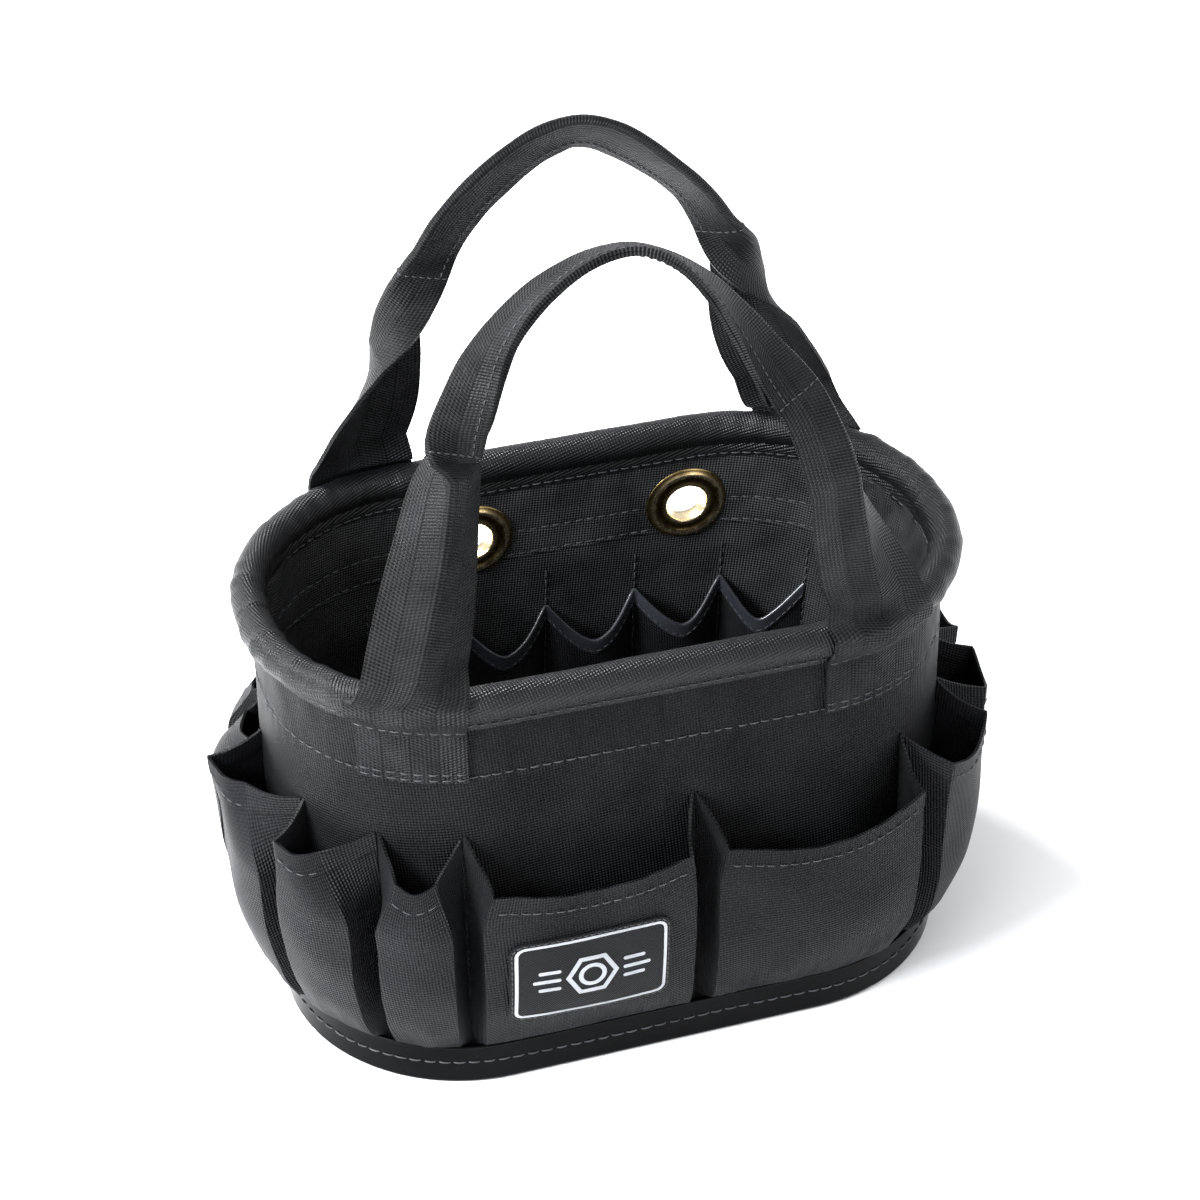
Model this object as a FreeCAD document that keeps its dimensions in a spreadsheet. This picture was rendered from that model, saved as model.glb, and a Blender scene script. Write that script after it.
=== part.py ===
import FreeCAD, Part
import math
import os

import Sketcher

# Tool bucket organizer: an open, stiffened fabric bucket with a moulded base tray, a rolled rim,
# a ring of bellows pockets outside, two rows of flat pockets inside and two webbing handles.
# Millimetres. X is the long side, the front is -Y, Z is up. The origin is the middle of the
# underside of the tray, which stands on the floor.

DOC = FreeCAD.newDocument("tool_bucket_organizer")
SHEET = DOC.addObject("Spreadsheet::Sheet", "sizes")

SIZES = [
    ("tray_half_length", 188.3, "outside of the base tray"),
    ("tray_half_width", 121.4, ""),
    ("tray_corner", 100.2, "plan radius of its corners"),
    ("tray_height", 26.0, ""),
    ("tray_wall", 2.0, ""),
    ("tray_floor", 2.4, ""),
    ("tray_edge", 3.0, "fillet round the underside"),
    ("board_thick", 4.0, "insert board on the floor of the bucket"),
    ("board_clear", 0.6, ""),
    ("wall_bottom", 3.0, "height at which the fabric wall starts"),
    ("wall_top", 231.5, "height at which it runs into the rim"),
    ("base_half_length", 185.3, "outside of the wall at its bottom"),
    ("base_half_width", 118.4, ""),
    ("base_corner", 97.2, ""),
    ("top_half_length", 187.0, "outside of the wall at its top"),
    ("top_half_width", 103.8, ""),
    ("top_corner", 100.0, ""),
    ("shell_thick", 0.9, "outer fabric"),
    ("board_wall", 1.6, "stiffener sheet between the two fabrics"),
    ("lining_thick", 0.7, "inner fabric"),
    ("layer_gap", 0.1, ""),
    ("panel_gap", 1.0, "slit between two stiffener panels"),
    ("panel_overlap", 14.0, "how far the front and rear panels reach round the corners"),
    ("rim_height", 242.6, "centre of the rim tube"),
    ("rim_half_length", 188.0, "centre line of the rim tube"),
    ("rim_half_width", 105.0, ""),
    ("rim_corner", 101.0, ""),
    ("rim_radius", 10.0, "outside of the rolled cover"),
    ("core_radius", 8.0, "plastic tube inside the roll"),
    ("core_bore", 6.0, ""),
    ("web_width", 57.0, "handle webbing"),
    ("web_thick", 2.2, ""),
    ("web_clear", 0.4, "between the webbing and what it is sewn to"),
    ("grip_width", 28.0, "webbing folded in half"),
    ("grip_thick", 5.6, ""),
    ("tab_bottom", 197.0, "lower end of the sewn strap tabs"),
    ("hinge_height", 267.0, "line about which a handle swings"),
    ("hinge_width", 106.0, "its distance from the middle of the bucket"),
    ("hinge_gap", 0.5, "half the slit between tab and handle"),
    ("handle_lean", 11.0, "degrees the handles lean inwards"),
    ("grommet_bore", 11.75, "radii"),
    ("grommet_hole", 12.6, ""),
    ("eyelet_rim", 24.0, ""),
    ("washer_rim", 22.0, ""),
    ("grommet_height", 197.5, ""),
    ("grommet_left", -44.0, "x of the left grommet"),
    ("grommet_right", 84.0, "x of the right grommet"),
    ("pocket_thick", 1.0, "outer pocket fabric"),
    ("pocket_bottom", 26.6, ""),
    ("pocket_peak", 163.0, "where two pockets meet on the wall"),
    ("pocket_corner", 150.0, "top of the outer fold lines"),
    ("large_depth", 24.5, "mouth depth of a large pocket"),
    ("narrow_depth", 29.0, "mouth depth of a narrow pocket"),
    ("label_thick", 1.2, ""),
    ("inner_thick", 0.8, "inner pocket fabric"),
    ("inner_bottom", 12.0, ""),
    ("inner_peak", 139.0, "top of the seams between inner pockets"),
    ("inner_low", 116.0, "lowest point of a scallop"),
    ("inner_width", 53.8, ""),
    ("inner_depth", 13.0, ""),
    ("binding_thick", 0.6, ""),
    ("binding_width", 9.0, ""),
]

# Positions along the wall are runs: mm round it from the front's middle, counter-clockwise from
# above, on an outline this share of the way up the wall and this far outside it
RUN_RISE = 0.71
RUN_OUT = 1.56

# Widths of the outer pockets along the wall, from the left large front pocket towards +X
FIRST_SEAM = -108.8
POCKET_WIDTHS = [125.3, 125.4, 58, 48, 48, 48, 48, 115, 114.7, 42, 42, 42, 65.6, 50.4, 45.2]
LARGE_POCKET = 100
SEAM_CLEAR = 0.9          # from a seam to the fabric's middle, so that neighbours stay apart
WALL_CLEAR = 0.4          # from the wall to the fabric's middle at a seam
BOTTOM_DEPTH = 1.8        # depth of a pocket where it meets the tray
BELLY_HEIGHT = 80.0       # up to here a pocket swells out, above it is nearly straight
BELLY_SHARE = 0.92        # share of the mouth depth reached there
BELLY_ROUND = 2.6         # above 2: the belly is fuller than an ellipse
POCKET_LEVELS = [29.5, 35, 50, 80, 108]
FOLD_INSET = 6.0          # from a seam to the fold at a pocket's corner
NARROW_CORNER = 0.95      # share of its depth that a narrow pocket has at its corners
NARROW_DROP = 3.0         # its seams end this much lower

# Fold lines between a pocket's corners: share of its width, share of its depth and how far its
# mouth dips there below the corners
LARGE_FOLDS = [(0.14, 1.04, 4), (0.32, 1.1, 13), (0.5, 1.13, 16), (0.68, 1.1, 13), (0.86, 1.04, 4)]
NARROW_FOLDS = [(0.35, 1.0, 6), (0.65, 1.0, 6)]
LABEL_LEVELS = slice(3, 6)
LABEL_FOLDS = slice(2, 7)
LABEL_CLEAR = 0.3

# Middle of each inner row, along the wall from the front's middle and from the rear's middle
INNER_ROWS = {"front": -8.0, "rear": -27.2}
INNER_COUNT = 5
INNER_LEVELS = [25, 60]
INNER_STEPS = 8
SCALLOP_ROUND = 1.5       # 2 is a parabola, 1 a plain V
SWELL_HEIGHT = 50.0       # over this height above its bottom an inner pocket swells out
BINDING_CLEAR = 0.15

# Middle of each strap tab, along the rim from the middle of its side towards +X
TABS = {
    "tab_front_left": ("front", -132.5),
    "tab_front_right": ("front", 117.0),
    "tab_rear_left": ("rear", -102.0),
    "tab_rear_right": ("rear", 151.0),
}
TAB_STEPS = 6
TAB_WALL_TOP = 226.0      # up to here a tab lies on the wall

# Where a tab rounds the rim: height above the tube's middle and share of the way out to its side
TAB_OVER_RIM = [(-8.5, 0.58), (-5.0, 0.9), (0.0, 1.0), (3.0, 1.0)]

# Middle line of each handle in its own plane: x, distance from the hinge line, width and turn of
# the webbing about that line in degrees, which takes its outer edge towards the bucket
FRONT_HANDLE = [
    (-129.0, 0, 56, 0), (-120.5, 30, 50, 0), (-111.5, 65, 40, -2), (-104.0, 97, 31, -10),
    (-94.0, 130, 28, -35), (-72.5, 169, 28, -78), (-38.8, 195, 28, -97), (-3.5, 200.5, 28, -102),
    (30.0, 178, 28, -76), (63.6, 128, 28, -33), (76.0, 100, 29, -14), (88.5, 62, 34, -4),
    (100.0, 28, 44, 0), (112.5, 0, 55, 0),
]
REAR_HANDLE = [
    (-103.0, 0, 54, 0), (-92.0, 28, 46, 0), (-82.0, 60, 34, -3), (-76.5, 92, 28, -6),
    (-64.0, 131, 28, -16), (-44.5, 162, 28, -16), (-10.0, 191, 28, -19), (22.0, 192, 28, -30),
    (68.0, 154, 28, -47), (90.0, 122, 28, -48), (101.5, 92, 29, -28), (114.6, 56, 36, -6),
    (128.0, 27, 46, 0), (142.0, 0, 55, 0),
]
HANDLE_STEPS = 40
FOOT_HEIGHT = 45.0        # up to here the webbing's sections turn from level to square to its run
OPENING_OUT = 0.4         # below 1: the doubled thickness is lost early as a leg opens out


def fill_sheet():
    """Driving dimensions, one named cell each."""
    for row, (alias, value, note) in enumerate(SIZES, start=1):
        SHEET.set(f"A{row}", alias)
        SHEET.set(f"B{row}", str(value))
        SHEET.set(f"C{row}", note)
        SHEET.setAlias(f"B{row}", alias)
    DOC.recompute()


def size(alias):
    return float(SHEET.get(alias))


# ---------------------------------------------------------------- sketches and plain solids

def draw_rounded_rectangle(sketch, half_x, half_y, corner):
    """Closed outline centred on the origin, its sizes given as sheet expressions.

    It is drawn at rough sizes, which the constraints then replace.
    """
    plan_x, plan_y, radius = 180.0, 110.0, 95.0
    flat_x = plan_x - radius
    flat_y = plan_y - radius
    vector = FreeCAD.Vector
    sides = [
        (vector(-flat_x, -plan_y), vector(flat_x, -plan_y)),
        (vector(plan_x, -flat_y), vector(plan_x, flat_y)),
        (vector(flat_x, plan_y), vector(-flat_x, plan_y)),
        (vector(-plan_x, flat_y), vector(-plan_x, -flat_y)),
    ]
    centres = [(flat_x, -flat_y), (flat_x, flat_y), (-flat_x, flat_y), (-flat_x, -flat_y)]
    for start, end in sides:
        sketch.addGeometry(Part.LineSegment(start, end))
    for turn, (cx, cy) in enumerate(centres):
        circle = Part.Circle(vector(cx, cy, 0), vector(0, 0, 1), radius)
        angle = math.radians(90 * turn - 90)
        sketch.addGeometry(Part.ArcOfCircle(circle, angle, angle + math.pi / 2))
    add = sketch.addConstraint
    for side in range(4):
        add(Sketcher.Constraint("Tangent", side, 2, 4 + side, 1))
        add(Sketcher.Constraint("Tangent", 4 + side, 2, (side + 1) % 4, 1))
        add(Sketcher.Constraint("Horizontal" if side % 2 == 0 else "Vertical", side))
    for arc in range(5, 8):
        add(Sketcher.Constraint("Equal", 4, arc))
    named = [
        ("corner", Sketcher.Constraint("Radius", 4, radius), corner),
        ("front", Sketcher.Constraint("DistanceY", 0, 1, -1, 1, plan_y), half_y),
        ("right", Sketcher.Constraint("DistanceX", -1, 1, 1, 1, plan_x), half_x),
        ("rear", Sketcher.Constraint("DistanceY", -1, 1, 2, 1, plan_y), half_y),
        ("left", Sketcher.Constraint("DistanceX", 3, 1, -1, 1, plan_x), half_x),
    ]
    for name, constraint, expression in named:
        index = add(constraint)
        sketch.renameConstraint(index, name)
        sketch.setExpression(f"Constraints.{name}", expression)


def origin_plane(body, role):
    return next(item for item in body.Origin.OriginFeatures if item.Role == role)


def body_sketch(body, name, role, lift=None):
    sketch = body.newObject("Sketcher::SketchObject", name)
    sketch.AttachmentSupport = [(origin_plane(body, role), "")]
    sketch.MapMode = "FlatFace"
    if lift:
        sketch.setExpression("AttachmentOffset.Base.z", lift)
    return sketch


def named_object(kind, label):
    item = DOC.addObject(kind, label)
    item.Label = label
    return item


def pad(body, sketch, length):
    feature = body.newObject("PartDesign::Pad", "Pad")
    feature.Profile = sketch
    feature.setExpression("Length", length)
    return feature


def base_tray():
    """Moulded tray with an upright wall, sewn round the foot of the bucket."""
    body = named_object("PartDesign::Body", "base_tray")
    outline = body_sketch(body, "tray_outline", "XY_Plane")
    draw_rounded_rectangle(
        outline, "sizes.tray_half_length", "sizes.tray_half_width", "sizes.tray_corner")
    pad(body, outline, "sizes.tray_height")
    hollow = body_sketch(body, "tray_hollow", "XY_Plane", "sizes.tray_height")
    draw_rounded_rectangle(
        hollow, "sizes.tray_half_length - sizes.tray_wall",
        "sizes.tray_half_width - sizes.tray_wall", "sizes.tray_corner - sizes.tray_wall")
    pocket = body.newObject("PartDesign::Pocket", "Hollow")
    pocket.Profile = hollow
    pocket.setExpression("Length", "sizes.tray_height - sizes.tray_floor")
    DOC.recompute()
    lowest = [
        f"Edge{number}" for number, edge in enumerate(pocket.Shape.Edges, start=1)
        if edge.BoundBox.ZMax < 0.01
    ]
    fillet = body.newObject("PartDesign::Fillet", "Edge")
    fillet.Base = (pocket, lowest)
    fillet.setExpression("Radius", "sizes.tray_edge")
    return body


def base_board():
    """Loose board that stiffens the floor inside the bucket."""
    body = named_object("PartDesign::Body", "base_board")
    inset = (
        "(sizes.board_clear + sizes.shell_thick + sizes.board_wall + sizes.lining_thick"
        " + 3 * sizes.layer_gap)")
    outline = body_sketch(body, "board_outline", "XY_Plane", "sizes.wall_bottom")
    draw_rounded_rectangle(
        outline, f"sizes.base_half_length - {inset}", f"sizes.base_half_width - {inset}",
        f"sizes.base_corner - {inset}")
    pad(body, outline, "sizes.board_thick")
    return body


# ---------------------------------------------------------------- wall layers

def loft(name, inset):
    """Solid plug with the wall's taper, a given inset inside the outer face."""
    ends = []
    for level, height in (("base", "sizes.wall_bottom"), ("top", "sizes.wall_top")):
        sketch = DOC.addObject("Sketcher::SketchObject", f"{name}_{level}")
        draw_rounded_rectangle(
            sketch, f"sizes.{level}_half_length - ({inset})",
            f"sizes.{level}_half_width - ({inset})", f"sizes.{level}_corner - ({inset})")
        sketch.setExpression("Placement.Base.z", height)
        ends.append(sketch)
    plug = DOC.addObject("Part::Loft", f"{name}_plug")
    plug.Sections = ends
    plug.Solid = True
    plug.Ruled = True
    return plug


def cut(label, base, tool):
    item = named_object("Part::Cut", label)
    item.Base = base
    item.Tool = tool
    return item


def grommet_places():
    """Placement of each grommet on the rear wall; local Z points out of the bucket."""
    lean = math.atan2(
        size("base_half_width") - size("top_half_width"), size("wall_top") - size("wall_bottom"))
    wall = size("shell_thick") + size("board_wall") + size("lining_thick") + 2 * size("layer_gap")
    places = {}
    for side, follow in (("left", 0.0), ("right", -2.4)):
        x = size(f"grommet_{side}")
        height = size("grommet_height")
        rise = (height - size("wall_bottom")) / (size("wall_top") - size("wall_bottom"))
        half_width = size("base_half_width") * (1 - rise) + size("top_half_width") * rise
        centre = FreeCAD.Vector(x, half_width - wall / 2, height)
        stand = FreeCAD.Rotation(FreeCAD.Vector(1, 0, 0), math.degrees(lean) - 90)
        swing = FreeCAD.Rotation(FreeCAD.Vector(0, 0, 1), follow)
        places[side] = FreeCAD.Placement(centre, swing.multiply(stand))
    return places


def grommet_holes():
    """The two round cutters for the holes through the rear wall."""
    cutters = []
    depth = 40.0
    for side, place in grommet_places().items():
        cylinder = DOC.addObject("Part::Cylinder", f"hole_{side}")
        cylinder.setExpression("Radius", "sizes.grommet_hole")
        cylinder.Height = depth
        cylinder.Placement = place.multiply(
            FreeCAD.Placement(FreeCAD.Vector(0, 0, -depth / 2), FreeCAD.Rotation()))
        cutters.append(cylinder)
    holes = DOC.addObject("Part::MultiFuse", "grommet_cutters")
    holes.Shapes = cutters
    return holes


def stiffener_panel(ring, label, corner, length, width):
    """The part of the stiffener ring that lies inside one upright box."""
    box = DOC.addObject("Part::Box", f"{label}_box")
    box.Length = length
    box.Width = width
    box.Height = width
    box.Placement.Base = corner
    item = named_object("Part::Common", label)
    item.Base = ring
    item.Tool = box
    return item


def walls():
    """Outer fabric, four stiffener panels and lining."""
    shell = "sizes.shell_thick"
    board_out = "sizes.shell_thick + sizes.layer_gap"
    board_in = f"{board_out} + sizes.board_wall"
    lining_out = f"{board_in} + sizes.layer_gap"
    lining_in = f"{lining_out} + sizes.lining_thick"
    plugs = [
        loft(name, inset) for name, inset in (
            ("shell_outside", "0 * sizes.shell_thick"), ("shell_inside", shell),
            ("board_outside", board_out), ("board_inside", board_in),
            ("lining_outside", lining_out), ("lining_inside", lining_in))
    ]
    holes = grommet_holes()
    shell_ring = cut("shell_ring", plugs[0], plugs[1])
    board_ring = cut("board_ring", plugs[2], plugs[3])
    lining_ring = cut("lining_ring", plugs[4], plugs[5])
    flat = size("top_half_length") - size("top_corner") + size("panel_overlap")
    gap = size("panel_gap")
    reach = 250.0
    vector = FreeCAD.Vector
    rear = stiffener_panel(
        board_ring, "rear_panel", vector(-flat, 0, 0), 2 * flat, reach)
    return [
        cut("outer_shell", shell_ring, holes),
        cut("lining", lining_ring, holes),
        cut("stiffener_rear", rear, holes),
        stiffener_panel(
            board_ring, "stiffener_front", vector(-flat, -reach, 0), 2 * flat, reach),
        stiffener_panel(
            board_ring, "stiffener_left", vector(-flat - gap - reach, -reach, 0),
            reach, 2 * reach),
        stiffener_panel(
            board_ring, "stiffener_right", vector(flat + gap, -reach, 0), reach, 2 * reach),
    ]


# ---------------------------------------------------------------- rim

def rim_sweep(name, path, radius):
    """Full ring of round section along the rim's centre line."""
    section = DOC.addObject("Sketcher::SketchObject", f"{name}_section")
    section.addGeometry(Part.Circle(FreeCAD.Vector(0, 0, 0), FreeCAD.Vector(0, 0, 1), 5.0))
    section.addConstraint(Sketcher.Constraint("Coincident", 0, 3, -1, 1))
    index = section.addConstraint(Sketcher.Constraint("Radius", 0, 5.0))
    section.renameConstraint(index, "radius")
    section.setExpression("Constraints.radius", radius)
    start = FreeCAD.Vector(0, -size("rim_half_width"), size("rim_height"))
    section.Placement = FreeCAD.Placement(
        start, FreeCAD.Rotation(FreeCAD.Vector(0, 1, 0), 90))
    ring = DOC.addObject("Part::Sweep", name)
    ring.Sections = [section]
    ring.Spine = (path, [f"Edge{number}" for number in range(1, 9)])
    ring.Solid = True
    ring.Frenet = False
    return ring


def rim():
    """Plastic tube and the fabric rolled round it."""
    path = DOC.addObject("Sketcher::SketchObject", "rim_path")
    draw_rounded_rectangle(
        path, "sizes.rim_half_length", "sizes.rim_half_width", "sizes.rim_corner")
    path.setExpression("Placement.Base.z", "sizes.rim_height")
    DOC.recompute()
    rings = {
        name: rim_sweep(name, path, radius) for name, radius in (
            ("cover_outside", "sizes.rim_radius"),
            ("cover_inside", "sizes.core_radius + sizes.layer_gap"),
            ("core_outside", "sizes.core_radius"), ("core_inside", "sizes.core_bore"))
    }
    return [
        cut("rim_cover", rings["cover_outside"], rings["cover_inside"]),
        cut("rim_core", rings["core_outside"], rings["core_inside"]),
    ]


# ---------------------------------------------------------------- grommets

def turned(label, outline, place):
    """Body turned about its own Z from a closed outline of (radius, height) points."""
    body = named_object("PartDesign::Body", label)
    sketch = body_sketch(body, f"{label}_profile", "XZ_Plane")
    points = [FreeCAD.Vector(radius, height, 0) for radius, height in outline]
    for start, end in zip(points, points[1:] + points[:1]):
        sketch.addGeometry(Part.LineSegment(start, end))
    for number in range(len(points)):
        follower = (number + 1) % len(points)
        sketch.addConstraint(Sketcher.Constraint("Coincident", number, 2, follower, 1))
        sketch.addConstraint(Sketcher.Constraint("Block", number))
    spin = body.newObject("PartDesign::Revolution", "Revolution")
    spin.Profile = sketch
    spin.ReferenceAxis = (sketch, ["V_Axis"])
    spin.Angle = 360
    body.Placement = place
    return body


def grommets():
    """Two eyelets set from inside, each with its washer outside."""
    bore = size("grommet_bore")
    flange = size("eyelet_rim")
    washer = size("washer_rim")
    metal = 0.7
    inner_face = 3.1          # flange plane, clear of the slightly curved wall
    outer_face = 3.1
    ridge = 1.6               # how far the domed flange stands out
    eyelet = [
        (bore, -inner_face - metal), (15.0, -inner_face - metal - 0.6),
        (19.0, -inner_face - ridge - metal), (21.0, -inner_face - ridge - metal),
        (flange, -inner_face - metal), (flange, -inner_face),
        (21.0, -inner_face - ridge), (19.0, -inner_face - ridge),
        (15.0, -inner_face - 0.6), (bore + metal, -inner_face),
        (bore + metal, outer_face + 1.1), (15.5, outer_face + 1.1),
        (15.5, outer_face + 1.1 + metal), (bore, outer_face + 1.1 + metal),
    ]
    ring = [
        (size("grommet_hole"), outer_face), (washer, outer_face),
        (washer, outer_face + 0.5), (size("grommet_hole"), outer_face + 1.0),
    ]
    bodies = []
    for side, place in grommet_places().items():
        bodies.append(turned(f"grommet_{side}_eyelet", eyelet, place))
        bodies.append(turned(f"grommet_{side}_washer", ring, place))
    return bodies


# ---------------------------------------------------------------- sheets that follow the wall

def wall_sizes(rise, out=0.0):
    """Half length, half width and corner radius of the wall, a share of the way up it."""
    return [
        size(f"base_{name}") * (1 - rise) + size(f"top_{name}") * rise + out
        for name in ("half_length", "half_width", "corner")
    ]


def run_lengths():
    """Runs along half the front, half of one end and one corner."""
    half_x, half_y, corner = wall_sizes(RUN_RISE, RUN_OUT)
    return half_x - corner, half_y - corner, corner * math.pi / 2


def half_turn():
    """Run from the front's middle to the rear's middle."""
    return 2 * sum(run_lengths())


def outline_point(run, half_x, half_y, corner):
    """Point on a rounded rectangle at a run, and its outward normal.

    Its flats and corners are each taken at the same share as the wall's own.
    """
    long_side, short_side, quarter = run_lengths()
    stretches = [
        (long_side, (0, -1), 0), (quarter, (1, -1), -90), (2 * short_side, (1, 0), -short_side),
        (quarter, (1, 1), 0), (2 * long_side, (0, 1), -long_side), (quarter, (-1, 1), 90),
        (2 * short_side, (-1, 0), -short_side), (quarter, (-1, -1), 180),
        (long_side, (0, -1), -long_side),
    ]
    left = run % (2 * half_turn())
    for length, (side_x, side_y), start in stretches:
        if left <= length:
            break
        left -= length
    flat_x = half_x - corner
    flat_y = half_y - corner
    if side_x and side_y:
        angle = math.radians(start + 90 * left / length)
        normal = FreeCAD.Vector(math.cos(angle), math.sin(angle), 0)
        return FreeCAD.Vector(side_x * flat_x, side_y * flat_y, 0) + normal * corner, normal
    normal = FreeCAD.Vector(side_x, side_y, 0)
    along = FreeCAD.Vector(-side_y, side_x, 0)
    stretch = flat_y / short_side if side_x else flat_x / long_side
    middle = FreeCAD.Vector(side_x * half_x, side_y * half_y, 0)
    return middle + along * ((start + left) * stretch), normal


def wall_point(run, height, offset):
    """Point at a height on the wall, `offset` mm outside its outer face."""
    rise = (height - size("wall_bottom")) / (size("wall_top") - size("wall_bottom"))
    point, normal = outline_point(run, *wall_sizes(rise))
    point = point + normal * offset
    point.z = height
    return point


def rim_point(run, height, offset):
    """Point at a height, `offset` mm outside the rim tube's centre line."""
    point, normal = outline_point(
        run, size("rim_half_length"), size("rim_half_width"), size("rim_corner"))
    point = point + normal * offset
    point.z = height
    return point


def quad(*corners):
    """Two triangles over four corners."""
    first, second, third, fourth = corners
    return [
        Part.Face(Part.makePolygon([*triangle, triangle[0]]))
        for triangle in ((first, second, third), (first, third, fourth))
    ]


def solid_within(faces):
    """Solid bounded by a closed set of faces."""
    shell = Part.makeShell(faces)
    shell.sewShape()
    solid = Part.makeSolid(shell)
    if solid.Volume < 0:
        solid.reverse()
    return solid


def closed_solid(front, back):
    """Solid between two grids of points with the same rows and columns."""
    faces = []
    rows = len(front)
    columns = len(front[0])
    for row in range(rows - 1):
        for column in range(columns - 1):
            for sheet in (front, back):
                faces += quad(
                    sheet[row][column], sheet[row][column + 1],
                    sheet[row + 1][column + 1], sheet[row + 1][column])
    for row in (0, rows - 1):
        for column in range(columns - 1):
            faces += quad(
                front[row][column], front[row][column + 1],
                back[row][column + 1], back[row][column])
    for column in (0, columns - 1):
        for row in range(rows - 1):
            faces += quad(
                front[row][column], front[row + 1][column],
                back[row + 1][column], back[row][column])
    return solid_within(faces)


def ribbon(sections):
    """Solid through a row of four-cornered sections."""
    faces = quad(*sections[0]) + quad(*sections[-1])
    for lower, upper in zip(sections, sections[1:]):
        for corner in range(4):
            following = (corner + 1) % 4
            faces += quad(lower[corner], lower[following], upper[following], upper[corner])
    return solid_within(faces)


def thicken(grid, thickness):
    """The two faces of a sheet, half its thickness each side of a grid of points."""
    front, back = [], []
    sharpest = 0.5            # least cosine at which a corner's mitre still grows
    for line in grid:
        normals = []
        for start, end in zip(line, line[1:]):
            along = FreeCAD.Vector(end.x - start.x, end.y - start.y, 0)
            normals.append(FreeCAD.Vector(along.y, -along.x, 0).normalize())
        offsets = []
        for number in range(len(line)):
            before = normals[max(number - 1, 0)]
            after = normals[min(number, len(normals) - 1)]
            middle = (before + after).normalize()
            offsets.append(middle * (thickness / 2 / max(middle.dot(before), sharpest)))
        front.append([point + offset for point, offset in zip(line, offsets)])
        back.append([point - offset for point, offset in zip(line, offsets)])
    return front, back


def fabric(label, shape):
    item = named_object("Part::Feature", label)
    item.Shape = shape
    item.Placement = FreeCAD.Placement()
    return item


# ---------------------------------------------------------------- outer pockets

def pocket_folds(width):
    """Fold lines of a pocket: share of its width, share of its depth and height of its mouth."""
    peak = size("pocket_peak")
    corner = size("pocket_corner")
    reach, folds = 1.0, LARGE_FOLDS
    if width <= LARGE_POCKET:
        peak -= NARROW_DROP
        reach, folds = NARROW_CORNER, NARROW_FOLDS
    inset = FOLD_INSET / width
    return [
        (0, 0, peak), (inset, reach, corner),
        *((share, depth, corner - dip) for share, depth, dip in folds),
        (1 - inset, reach, corner), (1, 0, peak),
    ]


def pocket_depth(width, height):
    """Depth of a pocket's fold lines at a height: a rounded belly, then nearly straight."""
    mouth = size("large_depth") if width > LARGE_POCKET else size("narrow_depth")
    bottom = size("pocket_bottom")
    if height >= BELLY_HEIGHT:
        share = (height - BELLY_HEIGHT) / (size("pocket_corner") - BELLY_HEIGHT)
        return mouth * (BELLY_SHARE + (1 - BELLY_SHARE) * share)
    fall = (BELLY_HEIGHT - height) / (BELLY_HEIGHT - bottom)
    belly = (1 - fall ** BELLY_ROUND) ** (1 / BELLY_ROUND)
    return BOTTOM_DEPTH + (mouth * BELLY_SHARE - BOTTOM_DEPTH) * belly


def pocket_grid(start, width, extra=0.0):
    """Middle of a pocket's fabric, row by row from the tray up to its mouth."""
    folds = pocket_folds(width)
    bottom = size("pocket_bottom")
    rows = [[level] * len(folds) for level in (bottom, *POCKET_LEVELS)]
    rows.append([mouth for _, _, mouth in folds])
    grid = []
    for heights in rows:
        line = []
        for height, (share, reach, _) in zip(heights, folds):
            run = start + SEAM_CLEAR + share * (width - 2 * SEAM_CLEAR)
            depth = pocket_depth(width, min(height, size("pocket_corner"))) * reach
            least = BOTTOM_DEPTH if height == bottom else WALL_CLEAR
            line.append(wall_point(run, height, max(depth, least) + extra))
        grid.append(line)
    return grid


def pocket_seams():
    """Start and width of every outer pocket along the wall."""
    start = FIRST_SEAM
    for width in POCKET_WIDTHS:
        yield start, width
        start += width


def outer_pockets():
    """Bellows pockets sewn to the wall all the way round, open at the top."""
    items = []
    for number, (start, width) in enumerate(pocket_seams(), start=1):
        front, back = thicken(pocket_grid(start, width), size("pocket_thick"))
        items.append(fabric(f"outer_pocket_{number:02d}", closed_solid(front, back)))
    return items


def label():
    """Plain badge sewn to the left front pocket."""
    start, width = next(pocket_seams())
    stand_off = size("pocket_thick") / 2 + LABEL_CLEAR + size("label_thick") / 2
    grid = pocket_grid(start, width, stand_off)
    patch = [line[LABEL_FOLDS] for line in grid[LABEL_LEVELS]]
    front, back = thicken(patch, size("label_thick"))
    return fabric("label", closed_solid(front, back))


# ---------------------------------------------------------------- inner pockets

def lining_face():
    """Offset of the lining's inner face from the wall's outer face."""
    return -(size("shell_thick") + size("board_wall") + size("lining_thick")
             + 2 * size("layer_gap"))


def inner_start(side):
    """Run at which an inner row starts."""
    middle = INNER_ROWS[side]
    if side == "rear":
        middle = half_turn() + middle
    return middle - INNER_COUNT * size("inner_width") / 2


def scallop(share):
    """Height of an inner pocket's edge across its width, highest at its two seams."""
    low = size("inner_low")
    return low + (size("inner_peak") - low) * abs(2 * share - 1) ** SCALLOP_ROUND


def inner_grid(start, levels, drops):
    """Middle of an inner pocket's fabric, at level heights and then at drops below its edge."""
    width = size("inner_width")
    bottom = size("inner_bottom")
    face = lining_face() - WALL_CLEAR - size("inner_thick") / 2
    shares = [step / INNER_STEPS for step in range(INNER_STEPS + 1)]
    rows = [[level] * len(shares) for level in levels]
    rows += [[scallop(share) - drop for share in shares] for drop in drops]
    grid = []
    for heights in rows:
        line = []
        for height, share in zip(heights, shares):
            swell = math.sqrt(min(1.0, (height - bottom) / SWELL_HEIGHT))
            bulge = size("inner_depth") * math.sin(math.pi * share) * swell
            run = start + SEAM_CLEAR + share * (width - 2 * SEAM_CLEAR)
            line.append(wall_point(run, height, face - bulge))
        grid.append(line)
    return grid


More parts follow.
